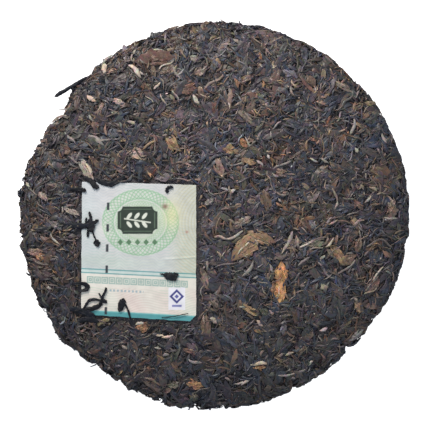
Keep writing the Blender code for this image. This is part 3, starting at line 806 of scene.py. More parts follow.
leafCommon = {
    "stations": 5, "ring": "strip", "height": (0.25, 0.5), "roll": 0.5, "twist": 0.3, "bend": 0.8,
    "wriggle": 0.8, "crinkle": 0.6, "jag": 0.2, "ends": 0.3, "edge": 0.3, "patch": 0.8, "spread": 0.2,
}
leafKinds = {
    # what each kind has of its own
    "flatLeaves": {
        "seed": 11, "count": 2500, "ring": "flat", "length": (5, 12), "width": (1.8, 4.8),
        "lift": (0.0, 0.85), "roll": 0.2, "wriggle": 0.5, "edge": 0.8, "spread": 0.17,
        "mix": {
            "coal": 22, "navy": 16, "slate": 13, "plum": 20,
            "moss": 11, "bark": 14, "rust": 2, "brown": 2,
        },
    },
    "rolledLeaves": {
        "seed": 12, "count": 2850, "stations": 6, "ring": "rolled", "length": (5, 13), "width": (0.8, 2.1),
        "height": (0.35, 0.7), "lift": (0.0, 1.0), "twist": 1.2, "bend": 1.3, "crinkle": 0.45, "jag": 0.18,
        "ends": 0.2, "edge": 0.5, "spread": 0.18,
        "mix": {"coal": 22, "navy": 15, "slate": 12, "plum": 18, "moss": 10, "bark": 15, "ash": 5, "rust": 3},
    },
    "thinStrips": {
        "seed": 18, "count": 4500, "length": (3, 9), "width": (0.6, 1.25), "lift": (0.3, 1.15),
        "twist": 0.8, "bend": 1.4, "crinkle": 0.4, "ends": 0.2, "edge": 0.6, "patch": 0.7,
        "mix": {
            "coal": 17, "navy": 13, "slate": 12, "plum": 16, "moss": 10,
            "bark": 14, "ash": 9, "brown": 6, "ochre": 2,
        },
    },
    "brokenLeaves": {
        "seed": 13, "count": 6200, "stations": 3, "length": (1.6, 5.0), "width": (0.8, 2.4),
        "height": (0.2, 0.45), "lift": (-0.2, 1.0), "twist": 0.7, "bend": 0.9, "crinkle": 0.5, "jag": 0.25,
        "ends": 0.35, "edge": 0.6, "patch": 0.7,
        "mix": {
            "coal": 18, "navy": 14, "slate": 12, "plum": 16, "moss": 10,
            "bark": 14, "ash": 7, "brown": 6, "ochre": 2,
        },
    },
    "leafBuds": {
        "seed": 14, "count": 620, "stations": 6, "ring": "round", "length": (2.5, 6.5), "width": (0.6, 1.4),
        "height": (0.35, 0.6), "lift": (0.8, 1.35), "roll": 0.3, "twist": 0.5, "bend": 1.1, "wriggle": 0.7,
        "crinkle": 0.35, "jag": 0.16, "ends": 0.15, "edge": 0.2, "patch": 0.9, "spread": 0.22,
        "mix": {
            "dove": 20, "smoke": 26, "straw": 4, "tan": 12,
            "pink": 12, "dun": 16, "olive": 7, "honey": 2,
        },
    },
    "leafStems": {
        "seed": 15, "count": 300, "stations": 7, "length": (4, 12), "width": (0.45, 0.8),
        "height": (0.3, 0.4), "lift": (0.7, 1.3), "roll": 0.2, "twist": 0.2, "bend": 1.1, "wriggle": 1.2,
        "crinkle": 0.25, "jag": 0.15, "ends": 0.5, "edge": 0.2, "spread": 0.22,
        "mix": {"smoke": 30, "dove": 14, "pink": 14, "dun": 18, "ash": 24},
    },
    "paleFibres": {
        "seed": 19, "count": 1500, "stations": 4, "length": (2, 6.5), "width": (0.35, 0.65),
        "height": (0.2, 0.35), "lift": (0.7, 1.35), "roll": 0.3, "twist": 0.4, "bend": 1.6, "crinkle": 0.3,
        "jag": 0.15, "edge": 0.2, "spread": 0.25,
        "mix": {"ash": 20, "smoke": 22, "dove": 14, "straw": 4, "dun": 14, "pink": 8, "tan": 8, "clay": 6},
    },
    # short leaves whose tips stand out past the rim
    "rimLeaves": {
        "seed": 20, "count": 460, "stations": 4, "ring": "rolled", "rimOnly": True, "poke": 2.8,
        "length": (2, 6), "width": (0.6, 1.8), "height": (0.3, 0.55), "lift": (0.2, 0.9), "roll": 0.6,
        "twist": 0.8, "bend": 1.2, "wriggle": 0.7, "crinkle": 0.45, "edge": 0.4, "patch": 0.7,
        "spread": 0.22,
        "mix": {
            "coal": 20, "navy": 14, "slate": 12, "plum": 14,
            "bark": 16, "ash": 10, "smoke": 6, "brown": 4,
        },
    },
    "brownLeaves": {
        "seed": 16, "count": 400, "ring": "flat", "length": (3, 8), "width": (1.6, 3.8),
        "height": (0.2, 0.4), "lift": (0.4, 1.0), "roll": 0.2, "wriggle": 0.6, "jag": 0.25, "ends": 0.35,
        "patch": 1.0,
        "mix": {
            "brown": 32, "clay": 10, "honey": 9, "ochre": 14,
            "olive": 10, "amber": 1, "rust": 8, "bark": 14,
        },
    },
}
darkMix = {"coal": 26, "navy": 18, "slate": 14, "plum": 16, "moss": 12, "bark": 14}
warmMix = {"bark": 30, "brown": 24, "coal": 16, "rust": 14, "plum": 16}
backShare = 0.5  # of the leaves that the face has, on the same area
ticketBorder = 0.3 * mm  # leaves may lie this close to the ticket


def drawStarts(draw, count, rimOnly=False):
    # random spots, even over the face and rim and thinner on the back
    poly = np.empty(len(bed.data.polygons) * 3, np.int32)
    bed.data.polygons.foreach_get("vertices", poly)
    corners = bedPoints[poly.reshape(-1, 3)]
    cross = np.cross(corners[:, 1] - corners[:, 0], corners[:, 2] - corners[:, 0])
    area = np.linalg.norm(cross, axis=1)
    area *= np.where(cross[:, 2] < -0.3 * area, backShare, 1)
    if rimOnly:
        # on the rim, and most of them at the upper left
        x, y, _ = corners.mean(1).T
        area *= (np.hypot(x, y) > 92 * mm) * (1 + 3 * np.exp(-(((aroundDegrees(x, y) - 142) / 24) ** 2)))
    chosen = draw.choice(len(corners), count, p=area / area.sum())
    share = draw.dirichlet((1, 1, 1), count)
    return (corners[chosen] * share[..., None]).sum(1)


def isFree(spine, width, draw):
    # clear of the ticket and the gaps in the rim, and mostly of the marked leaves
    onFace = [p for p in spine if p.z > cakeForm["rimHeight"]]
    if any(insideTicket(p.x, p.y) > -width * 0.42 - ticketBorder for p in onFace):
        return False
    if any(crossesNotch(p, width * 0.35) for p in spine):
        return False
    return not (any(coversMarked(p) for p in onFace) and draw.random() < keptClear)


def bulge(ends, share, skew, power):
    # how wide a leaf is along its length, 1 at its widest
    return ends + (1 - ends) * np.sin(math.pi * share ** skew) ** power


def scatterKind(name, kind):
    draw = np.random.default_rng(kind["seed"])
    count, stations = kind["count"], kind["stations"]
    starts = drawStarts(draw, count, "rimOnly" in kind)
    lengths = draw.uniform(*kind["length"], count) * mm
    widest = draw.uniform(*kind["width"], count) * mm
    bends = draw.uniform(-kind["bend"], kind["bend"], count)
    wriggles = draw.normal(0, kind["wriggle"], (count, stations))
    headings = draw.normal(size=(count, 3))
    routes, kept = [], []
    for index in range(count):
        start, heading = Vector(starts[index]), Vector(headings[index])
        route = walkOver(start, heading, lengths[index], bends[index], wriggles[index])
        if isFree(route[0], widest[index], draw):
            routes.append(route)
            kept.append(index)
    leaves = len(kept)
    spine, outward = [np.array(each) for each in zip(*routes)]
    share = np.linspace(0.08, 0.92, stations)
    fill = bulge(kind["ends"], share, draw.uniform(0.6, 1.6, (leaves, 1)), 0.7)
    widths = widest[kept, None] * fill * (1 + 0.2 * draw.uniform(-1, 1, (leaves, stations)))
    heights = draw.uniform(*kind["height"], (leaves, 1)) * mm * (0.55 + 0.45 * fill)
    # the ends dip under the neighbours, one more than the other
    lift = draw.uniform(*kind["lift"], (leaves, 1)) + 0.45 * np.sin(math.pi * share) - 0.2
    lift = (lift + draw.uniform(-0.5, 0.5, (leaves, 1)) * (share - 0.5)) * mm
    if "poke" in kind:
        reach = kind["poke"] * mm * draw.uniform(0, 1, (leaves, 1))
        reach = reach * rimRoughness(spine[:, :1, 0], spine[:, :1, 1])
        lift = lift + reach * share ** 2
    roll = draw.normal(0, kind["roll"], (leaves, 1))
    roll = roll + draw.normal(0, kind["twist"], (leaves, 1)) * (share - 0.5)
    tones = drawTones(draw, kind["mix"], leaves, kind["spread"]) * tintAndPaintedLight(spine[:, stations // 2])
    pale = name in ("leafBuds", "leafStems", "paleFibres", "brownLeaves")
    seconds = drawTones(draw, warmMix if pale else darkMix, leaves, 0.2)
    return makeShells(name, kind, spine, outward, widths, heights, lift, roll, tones, seconds, draw)


crumbs = {
    "seed": 17, "count": 5600, "length": (0.6, 1.8), "width": (0.4, 1.1), "height": (0.2, 0.4),
    "lift": (0.8, 1.35),
    "mix": {
        "coal": 18, "navy": 10, "slate": 14, "plum": 14, "moss": 10,
        "bark": 14, "ash": 14, "tan": 5, "pale": 1,
    },
}


def scatterCrumbs():
    # specks of leaf, six points and eight triangles each
    draw = np.random.default_rng(crumbs["seed"])
    found = [bedSurface.find_nearest(Vector(start))[:2] for start in drawStarts(draw, crumbs["count"])]
    spot, outward = [np.array(each) for each in zip(*found)]
    free = (insideTicket(spot[:, 0], spot[:, 1]) <= -0.4 * mm) | (spot[:, 2] <= cakeForm["rimHeight"])
    spot, outward = spot[free], outward[free]
    count = len(spot)
    ahead = np.cross(outward, draw.normal(size=(count, 3)))
    ahead /= np.linalg.norm(ahead, axis=1)[:, None]
    side = np.cross(outward, ahead)
    half = [draw.uniform(*crumbs[key], (count, 1)) * mm / 2 for key in ("length", "width", "height")]
    middle = spot + outward * draw.uniform(*crumbs["lift"], (count, 1)) * mm
    reach = [ahead * half[0], side * half[1], outward * half[2] * 2]
    points = np.stack([middle + way * sign for way in reach for sign in (1, -1)], 1)
    points += draw.normal(0, 0.06 * mm, points.shape)
    # ahead 0 1, side 2 3, outward 4 5
    eight = np.array(((0, 2, 4), (2, 1, 4), (1, 3, 4), (3, 0, 4), (2, 0, 5), (1, 2, 5), (3, 1, 5), (0, 3, 5)))
    faces = (eight[None] + (np.arange(count) * 6)[:, None, None]).reshape(-1, 3)
    tones = drawTones(draw, crumbs["mix"], count, 0.3) * tintAndPaintedLight(middle)
    shade = np.array((0.9, 0.9, 1.0, 1.0, 1.1, 0.6))
    colour = tones[:, None] * shade[None, :, None]
    along = np.array(((0, 1), (1, 0), (1, 1), (0, 0), (0.5, 0.5), (0.2, 0.6)))
    along = draw.uniform(0, 400, (count, 1, 2)) + along
    print("teaCrumbs", count)
    return meshFromArrays("teaCrumbs", points, faces, colour, along)


def strandsOf(leaf, draw):
    tone, width, *ends = leaf
    start, way = Vector(ends[:2]), Vector(ends[2:]) - Vector(ends[:2])
    square = Vector((-way.y, way.x)).normalized()
    count = round(width / strandWidth) + 1
    strands = []
    for index in range(count):
        off = square * (width - 1) * ((index + draw.uniform(-0.4, 0.4)) / (count - 1) - 0.5)
        low, high = draw.uniform(-0.05, 0.4), draw.uniform(0.6, 1.05)
        turn = square * draw.normal(0, 0.5)
        strands.append((tone, strandWidth * draw.uniform(0.8, 1.5), *(start + way * low + off - turn),
                        *(start + way * high + off + turn)))
    return strands


def drawSeconds(draw, tones):
    # the tone that each marked leaf shades into
    return drawTones(draw, warmMix, len(tones), 0.15) * 0.6 + tones * 0.5


def makeMarked(formName, form, seed):
    draw = np.random.default_rng(seed)
    wanted = "leaf" if formName == "strand" else formName
    ofKind = {tone: leaves for (kind, tone), leaves in markedLeaves.items() if kind == wanted}
    chosen = [(tone, *leaf) for tone, leaves in ofKind.items() for leaf in leaves]
    if formName == "strand":
        chosen = [strand for leaf in chosen for strand in strandsOf(leaf, draw)]
    stations = form["stations"]
    spines, outwards = [], []
    for _, _, *ends in chosen:
        bow, sway = draw.uniform(-form["bow"], form["bow"], 2)
        start, straight = Vector(ends[:2]), Vector(ends[2:]) - Vector(ends[:2])
        square = Vector((-straight.y, straight.x))
        found = []
        for share in np.linspace(0, 1, stations):
            off = bow * math.sin(math.pi * share) + 0.5 * sway * math.sin(2 * math.pi * share)
            spot = start + straight * share + square * off
            above = Vector((spot.x * mm, spot.y * mm, float(faceHeight(spot.length * mm))))
            found.append(bedSurface.find_nearest(above))
        spines.append([point for point, *_ in found])
        outwards.append([slopeAndUp(normal) for _, normal, *_ in found])
    leaves = len(chosen)
    share = np.linspace(0.05, 0.95, stations)
    fill = bulge(form["ends"], share, draw.uniform(0.7, 1.4, (leaves, 1)), 0.8)
    widest = np.array([leaf[1] for leaf in chosen])[:, None] * mm
    widths = widest * fill * (1 + 0.16 * draw.uniform(-1, 1, (leaves, stations)))
    heights = form["height"] * mm * (0.5 + 0.5 * fill)
    lift = form["lift"] + 0.3 * np.sin(math.pi * share) - 0.15
    lift = (lift + draw.normal(0, 0.06, (leaves, stations))) * mm
    roll = draw.normal(0, 0.15, (leaves, 1)) + draw.normal(0, 0.3, (leaves, 1)) * (share - 0.5)
    tones = markedGain * linear([leafTones[leaf[0]] for leaf in chosen])
    tones = tones * np.exp(draw.normal(0, form["spread"], (leaves, 1)))
    seconds = drawSeconds(draw, tones)
    name = f"marked{formName.title()}s"
    return makeShells(name, form, spines, outwards, widths, heights, lift, roll, tones, seconds, draw)


scattered = [scatterKind(name, {**leafCommon, **kind}) for name, kind in leafKinds.items()]
scattered.append(scatterCrumbs())
marked = [makeMarked(name, form, 40 + index) for index, (name, form) in enumerate(markedForms.items())]

# leaves that reach over the ticket's edges: each one's route on the face and its width, in millimetres

overTicket = {
    "cornerLeft": (((-73, 13.4), (-68.5, 13.2), (-65.6, 12.6)), 2.2),
    "cornerMid": (((-66, 19.5), (-62.5, 17.2), (-60.4, 15.0), (-59.2, 14.4)), 2.8),
    "cornerRight": (((-60.5, 18.4), (-56.5, 16.6), (-53, 15.8), (-49.5, 17.2), (-46, 19.6)), 2.6),
    "sprayRoot": (((-74, -4.8), (-69, -5.4), (-65.5, -5.2), (-63.2, -5.2)), 3.0),
    "sprayHeart": (((-63.6, -2.6), (-63.0, -4.6), (-62.6, -6.4), (-62.0, -8.0)), 4.4),
    "sprayUp": (((-62.6, -3.4), (-62.8, -0.8), (-63.6, 1.6)), 1.5),
    "sprayUpLeft": (((-65.4, -4.8), (-65.3, -2.8), (-64.9, -1.2)), 0.9),
    "sprayRight": (((-62.6, -4.6), (-61.0, -3.6), (-59.2, -2.4)), 1.9),
    "sprayNeck": (((-62.3, -7.0), (-61.4, -9.6), (-60.4, -12.0)), 1.0),
    "sprayBud": (((-60.2, -12.4), (-59.7, -14.0), (-59.2, -15.6)), 3.4),
    "sprayDown": (((-63.8, -6.4), (-64.2, -8.8), (-64.4, -10.8)), 1.4),
    "leftHook": (
        ((-72, -34.8), (-67.5, -34.6), (-65.0, -35.2), (-64.2, -36.4), (-65.2, -37.6), (-68.4, -38.5)), 2.3),
    "forkLeg": (((-58.0, -45.6), (-57.0, -43.4), (-56.6, -41.0), (-55.4, -38.8), (-54.9, -36.9)), 1.4),
    "forkHeart": (((-57.6, -44.2), (-56.6, -43.4), (-55.6, -43.8), (-55.0, -44.3)), 2.1),
    "forkArm": (((-57.2, -43.0), (-57.8, -41.2), (-58.6, -39.6)), 0.9),
    "forkLoop": (((-57.2, -43.4), (-60.6, -42.8), (-63.2, -43.2), (-64.7, -44.8), (-66.4, -47.5)), 1.5),
    "forkFoot": (((-57.4, -44.6), (-58.8, -46.2), (-61.5, -47.4), (-66, -48.2), (-71, -49)), 2.5),
    "cornerMass": (((-73, -47.5), (-68, -48.6), (-64, -50.2), (-61, -51.6)), 3.4),
    "cornerEdge": (((-69, -53.5), (-64, -52.6), (-59.5, -53.8)), 3.0),
    "budStem": (((-45.9, -44.4), (-44.6, -46.4), (-43.4, -49.4), (-42.4, -53.0)), 1.0),
    "darkBud": (((-46.2, -42.6), (-46.9, -44.8), (-48.2, -48.6)), 3.8),
    "topBit": (((-21.2, 14.5), (-22.9, 14.3), (-24.0, 13.0), (-23.8, 11.8)), 1.9),
    "lineBud": (((-25.2, -30.0), (-23.2, -30.9), (-21.0, -30.9), (-18.6, -29.9)), 4.2),
    "lineHeart": (((-21.6, -30.4), (-20.4, -31.7), (-19.8, -33.0)), 3.2),
    "lineTail": (((-27.4, -29.7), (-25.8, -30.0), (-24.4, -30.3)), 0.8),
    "bandFibre": (((-26.6, -52.1), (-20.5, -51.4), (-16.5, -50.6), (-13.2, -50.0)), 0.5),
}
overForm = {
    "seed": 61, "stations": 14, "ring": "rolled", "height": 0.55, "lift": 0.85, "ends": 0.6, "tip": 0.4,
    "roundOnes": ("sprayHeart", "sprayBud", "darkBud", "lineBud", "lineHeart"),
    "crinkle": 0.35, "jag": 0.2, "edge": 0.3, "patch": 0.6, "mix": {"ink": 1}, "spread": 0.2,
}


def alongRoute(route, count):
    # a smooth curve through the route's own points
    stops = np.array(route, float)
    stops = np.concatenate([[2 * stops[0] - stops[1]], stops, [2 * stops[-1] - stops[-2]]])
    places = np.linspace(0, len(route) - 1 - 1e-6, count)
    k = places.astype(int)
    t = (places - k)[:, None]
    a, b, c, d = stops[k], stops[k + 1], stops[k + 2], stops[k + 3]
    return (2 * b + (c - a) * t + (2 * a - 5 * b + 4 * c - d) * t ** 2 + (3 * b - a - 3 * c + d) * t ** 3) / 2


def faceSpine(flat):
    # points of the smooth face under x and y, and its slope's normals
    radius = np.hypot(flat[:, 0], flat[:, 1])
    step = 0.1 * mm
    slope = (faceHeight(radius + step) - faceHeight(radius - step)) / (2 * step)
    outward = np.stack([-slope * flat[:, 0] / radius, -slope * flat[:, 1] / radius, np.ones(len(flat))], 1)
    outward /= np.linalg.norm(outward, axis=1)[:, None]
    return np.concatenate([flat, faceHeight(radius)[:, None]], 1), outward


def makeOverTicket():
    draw = np.random.default_rng(overForm["seed"])
    stations, leaves = overForm["stations"], len(overTicket)
    share = np.linspace(0.05, 0.95, stations)
    routes, widest = zip(*overTicket.values())
    spines, outwards = zip(*[faceSpine(alongRoute(route, stations) * mm) for route in routes])
    ends = np.array([0.2 if name in overForm["roundOnes"] else overForm["ends"] for name in overTicket])
    widths = np.array(widest)[:, None] * mm * bulge(ends[:, None], share, 1, 0.6)
    widths *= 1 + 0.12 * draw.uniform(-1, 1, widths.shape)
    heights = np.minimum(overForm["height"] * mm, widths * 0.5)
    lift = overForm["lift"] * mm
    roll = draw.normal(0, 0.15, (leaves, 1))
    tones = drawTones(draw, overForm["mix"], leaves, overForm["spread"])
    seconds = drawTones(draw, {"ink": 3, "coal": 1}, leaves, 0.2)
    name = "ticketLeaves"
    return makeShells(name, overForm, spines, outwards, widths, heights, lift, roll, tones, seconds, draw)


ticketLeaves = makeOverTicket()

# the twig that stands out past the rim

rimTwig = {
    "routes": (
        ((-52, 72, 15), (-60, 71.5, 13.5), (-66, 69.6, 12.5), (-73, 65.8, 11.8), (-80.6, 61.3, 11.4)),
        ((-66.5, 57, 11.5), (-70.5, 61.5, 11.6), (-72.5, 65.4, 11.8)),
    ),
    "stations": 16, "width": 2.0, "height": 0.8, "ring": "round", "crinkle": 0.25, "jag": 0.15, "edge": 0.1,
    "patch": 0.3, "seed": 71,
}


def makeTwig():
    draw = np.random.default_rng(rimTwig["seed"])
    spine = np.array([alongRoute(route, rimTwig["stations"]) for route in rimTwig["routes"]]) * mm
    widths = rimTwig["width"] * mm * (1 + 0.12 * draw.uniform(-1, 1, spine.shape[:2]))
    heights = rimTwig["height"] * mm * (1 + 0.12 * draw.uniform(-1, 1, spine.shape[:2]))
    tones = drawTones(draw, {"ink": 1}, 2, 0.05)
    seconds = drawTones(draw, {"coal": 1}, 2, 0.05)
    outward = np.zeros_like(spine) + (0, 0, 1)
    return makeShells("rimTwig", rimTwig, spine, outward, widths, heights, 0, 0, tones, seconds, draw)


twig = makeTwig()

# single leaves that stand out past the rim at the left: tone, width, and a route seen from above

rimTufts = {
    "routes": (
        ("lilac", 3.6, ((-44, 78.6), (-45, 82.4), (-45.8, 86.2))),
        ("straw", 1.0, ((-42, 80), (-40.8, 85), (-40.3, 89.2))),
        ("dove", 1.5, ((-57.5, 76.5), (-55.4, 79.4), (-51.8, 81.8))),
        ("clay", 1.6, ((-70, 60), (-73, 56.5), (-76, 52.2))),
        ("smoke", 0.9, ((-73, 54.2), (-76, 54.2), (-79, 53.8))),
        ("dun", 1.8, ((-74, 51), (-78.5, 50.2), (-82.4, 47.8))),
        ("ash", 1.8, ((-78, 46.6), (-82, 46.4), (-85, 44.4))),
        ("clay", 1.8, ((-80, 38.6), (-84.5, 38.6), (-88.2, 37.6))),
        ("blush", 1.6, ((-85, 31.8), (-88, 33.8), (-90.6, 34.2))),
        ("tan", 1.6, ((-91, 24.2), (-93.8, 23.4), (-96.2, 21.4))),
        ("coal", 2.0, ((-93, -13), (-96.4, -14.6), (-99, -15.4))),
    ),
    "stations": 7, "lift": 0.7, "height": 0.35, "ring": "rolled", "crinkle": 0.4, "jag": 0.2,
    "edge": 0.3, "patch": 0.5, "seed": 72,
}


def makeTufts():
    draw = np.random.default_rng(rimTufts["seed"])
    tones, widest, routes = zip(*rimTufts["routes"])
    spines, outwards = [], []
    for route in routes:
        spots = [Vector((x * mm, y * mm, 13 * mm)) for x, y in alongRoute(route, rimTufts["stations"])]
        found = [bedSurface.find_nearest(spot) for spot in spots]
        spines.append([(spot.x, spot.y, below.z) for spot, (below, *_) in zip(spots, found)])
        outwards.append([slopeAndUp(normal) for _, normal, *_ in found])
    fill = bulge(0.3, np.linspace(0.05, 0.95, rimTufts["stations"]), 1, 0.7)
    widths = np.array(widest)[:, None] * mm * fill
    roll = draw.normal(0, 0.2, (len(routes), 1))
    tones = markedGain * linear([leafTones[tone] for tone in tones])
    seconds = drawSeconds(draw, tones)
    heights, lift = rimTufts["height"] * mm * fill, rimTufts["lift"] * mm
    name = "rimTufts"
    return makeShells(name, rimTufts, spines, outwards, widths, heights, lift, roll, tones, seconds, draw)


tufts = makeTufts()
print("marked leaves ready")

# the leaf's own finish: dry, a little waxy, with fibres along it

leafFinish = {
    "fibre": (0.3, 2.0, 1.0),  # along and across, for each millimetre
    "fibreLight": (0.78, 1.28),
    "dustSize": 700,
    "dustTone": (0.30, 0.29, 0.27),
    "dust": 0.12,
    "dustBetween": (0.56, 0.74),  # the levels of noise from none to all of it
    "roughness": (0.36, 0.62),
    "mottleSize": 900,
    "mottle": (0.87, 1.14),
    "hueSize": 560,
    "hue": (0.85, 0.575),  # times the noise in red, green and blue each, plus
    "bump": 0.5,
    "bumpDepth": 0.15 * mm,
}


def makeLeafMaterial(name, dull, specular):
    material, tree, shader = newMaterial(name)
    finish = leafFinish
    where = addNode(tree, "TexCoord", "Object", {})
    along = addNode(tree, "UVMap", "UV", {}, uv_map="leafUV")
    along = addNode(tree, "Mapping", "Vector", {"Vector": along, "Scale": finish["fibre"]})
    fibre = addNoise(tree, along, 1.0, 5, roughness=0.65)
    colour = addNode(tree, "Attribute", "Color", {}, attribute_name="leafTone")
    colour = addScale(tree, colour, addRange(tree, fibre, finish["fibreLight"]))
    # small blotches, lighter and darker, and slower changes of hue
    blotch = addNoise(tree, where, finish["mottleSize"], 3)
    colour = addScale(tree, colour, addRange(tree, blotch, finish["mottle"]))
    times, plus = finish["hue"]
    hue = {0: addNoise(tree, where, finish["hueSize"], 2, "Color"), 1: [times] * 3, 2: [plus] * 3}
    hue = addNode(tree, "VectorMath", "Vector", hue, operation="MULTIPLY_ADD")
    colour = addNode(tree, "VectorMath", "Vector", {0: colour, 1: hue}, operation="MULTIPLY")
    speck = addNoise(tree, where, finish["dustSize"], 3)
    dusty = addRange(tree, speck, (0, finish["dust"]), *finish["dustBetween"])
    dust = {"Factor": dusty, "A": colour, "B": (*finish["dustTone"], 1)}
    plugIn(tree, shader, {
        "Base Color": addNode(tree, "Mix", "Result", dust, data_type="RGBA"),
        "Roughness": addRange(tree, speck, [level + dull for level in finish["roughness"]]),
        "Normal": addBump(tree, fibre, finish["bump"], finish["bumpDepth"]),
        "Specular IOR Level": specular,
    })
    return material


leafMaterial = makeLeafMaterial("dryTeaLeaf", 0.0, 0.5)
stemMaterial = makeLeafMaterial("dryTeaStem", 0.08, 0.5)
darkMaterial = makeLeafMaterial("blackTeaLeaf", 0.12, 0.25)

bedFinish = {
    "flakeSize": 760,
    "tones": ((42, 43, 49), (62, 59, 64), (84, 75, 71)),
    "bendSize": 300,
    "bend": 4 * mm,  # how far the noise bends the flakes' edges
    "gap": 0.78,  # brightness in the gaps between flakes, a painted shade
    "gapBetween": (0.25, 0.75),
    "roughness": 0.7,
    "bump": 0.8,
    "bumpDepth": 0.5 * mm,
}


def makeBedMaterial():
    # fine broken leaf, one tone for each flake, and painted shade in the gaps between them
    material, tree, shader = newMaterial("pressedLeafBed")
    where = addNode(tree, "TexCoord", "Object", {})
    bent = addNoise(tree, where, bedFinish["bendSize"], 2, "Color")
    bent = {0: bent, 1: [bedFinish["bend"]] * 3, 2: where}
    bent = addNode(tree, "VectorMath", "Vector", bent, operation="MULTIPLY_ADD")
    distance = addNode(tree, "TexVoronoi", "Distance", {"Vector": bent, "Scale": bedFinish["flakeSize"]})
    flakes = distance.node
    ramp = addNode(tree, "ValToRGB", "Color", {"Fac": flakes.outputs["Color"]})
    stops = ramp.node.color_ramp.elements
    stops.new(0.5)
    for stop, tone in zip(stops, bedFinish["tones"]):
        stop.color = (*linear(tone), 1)
    # painted shade: the gaps, low in the bump, darker
    gaps = addRange(tree, distance, (1, bedFinish["gap"]), *bedFinish["gapBetween"])
    plugIn(tree, shader, {
        "Base Color": addScale(tree, ramp, gaps),
        "Normal": addBump(tree, distance, bedFinish["bump"], bedFinish["bumpDepth"], invert=True),
        "Roughness": bedFinish["roughness"],
    })
    return material


bed.data.materials.append(makeBedMaterial())
for piece in (*scattered, *marked, tufts):
    stemLike = piece.name in ("leafBuds", "leafStems", "paleFibres", "markedStems", "markedBuds")
    piece.data.materials.append(stemMaterial if stemLike else leafMaterial)
for piece in (ticketLeaves, twig):
    piece.data.materials.append(darkMaterial)
print("leaf finishes ready")

# the ticket: a sheet of thin paper, draped and pressed into the face

paper = {
    "cells": (226, 266),
    "lift": 0.22 * mm,  # of its underside above the smooth face
    "thickness": 0.12 * mm,
    "swell": (13 * mm, 0.10 * mm),
    "dimples": (4.5 * mm, 0.05 * mm),
    "foldFrom": (-24.0, -22.4),
    "foldTo": (-8.7, -21.2),
    "foldRise": 0.18 * mm,
    "foldWidth": 0.5 * mm,
}


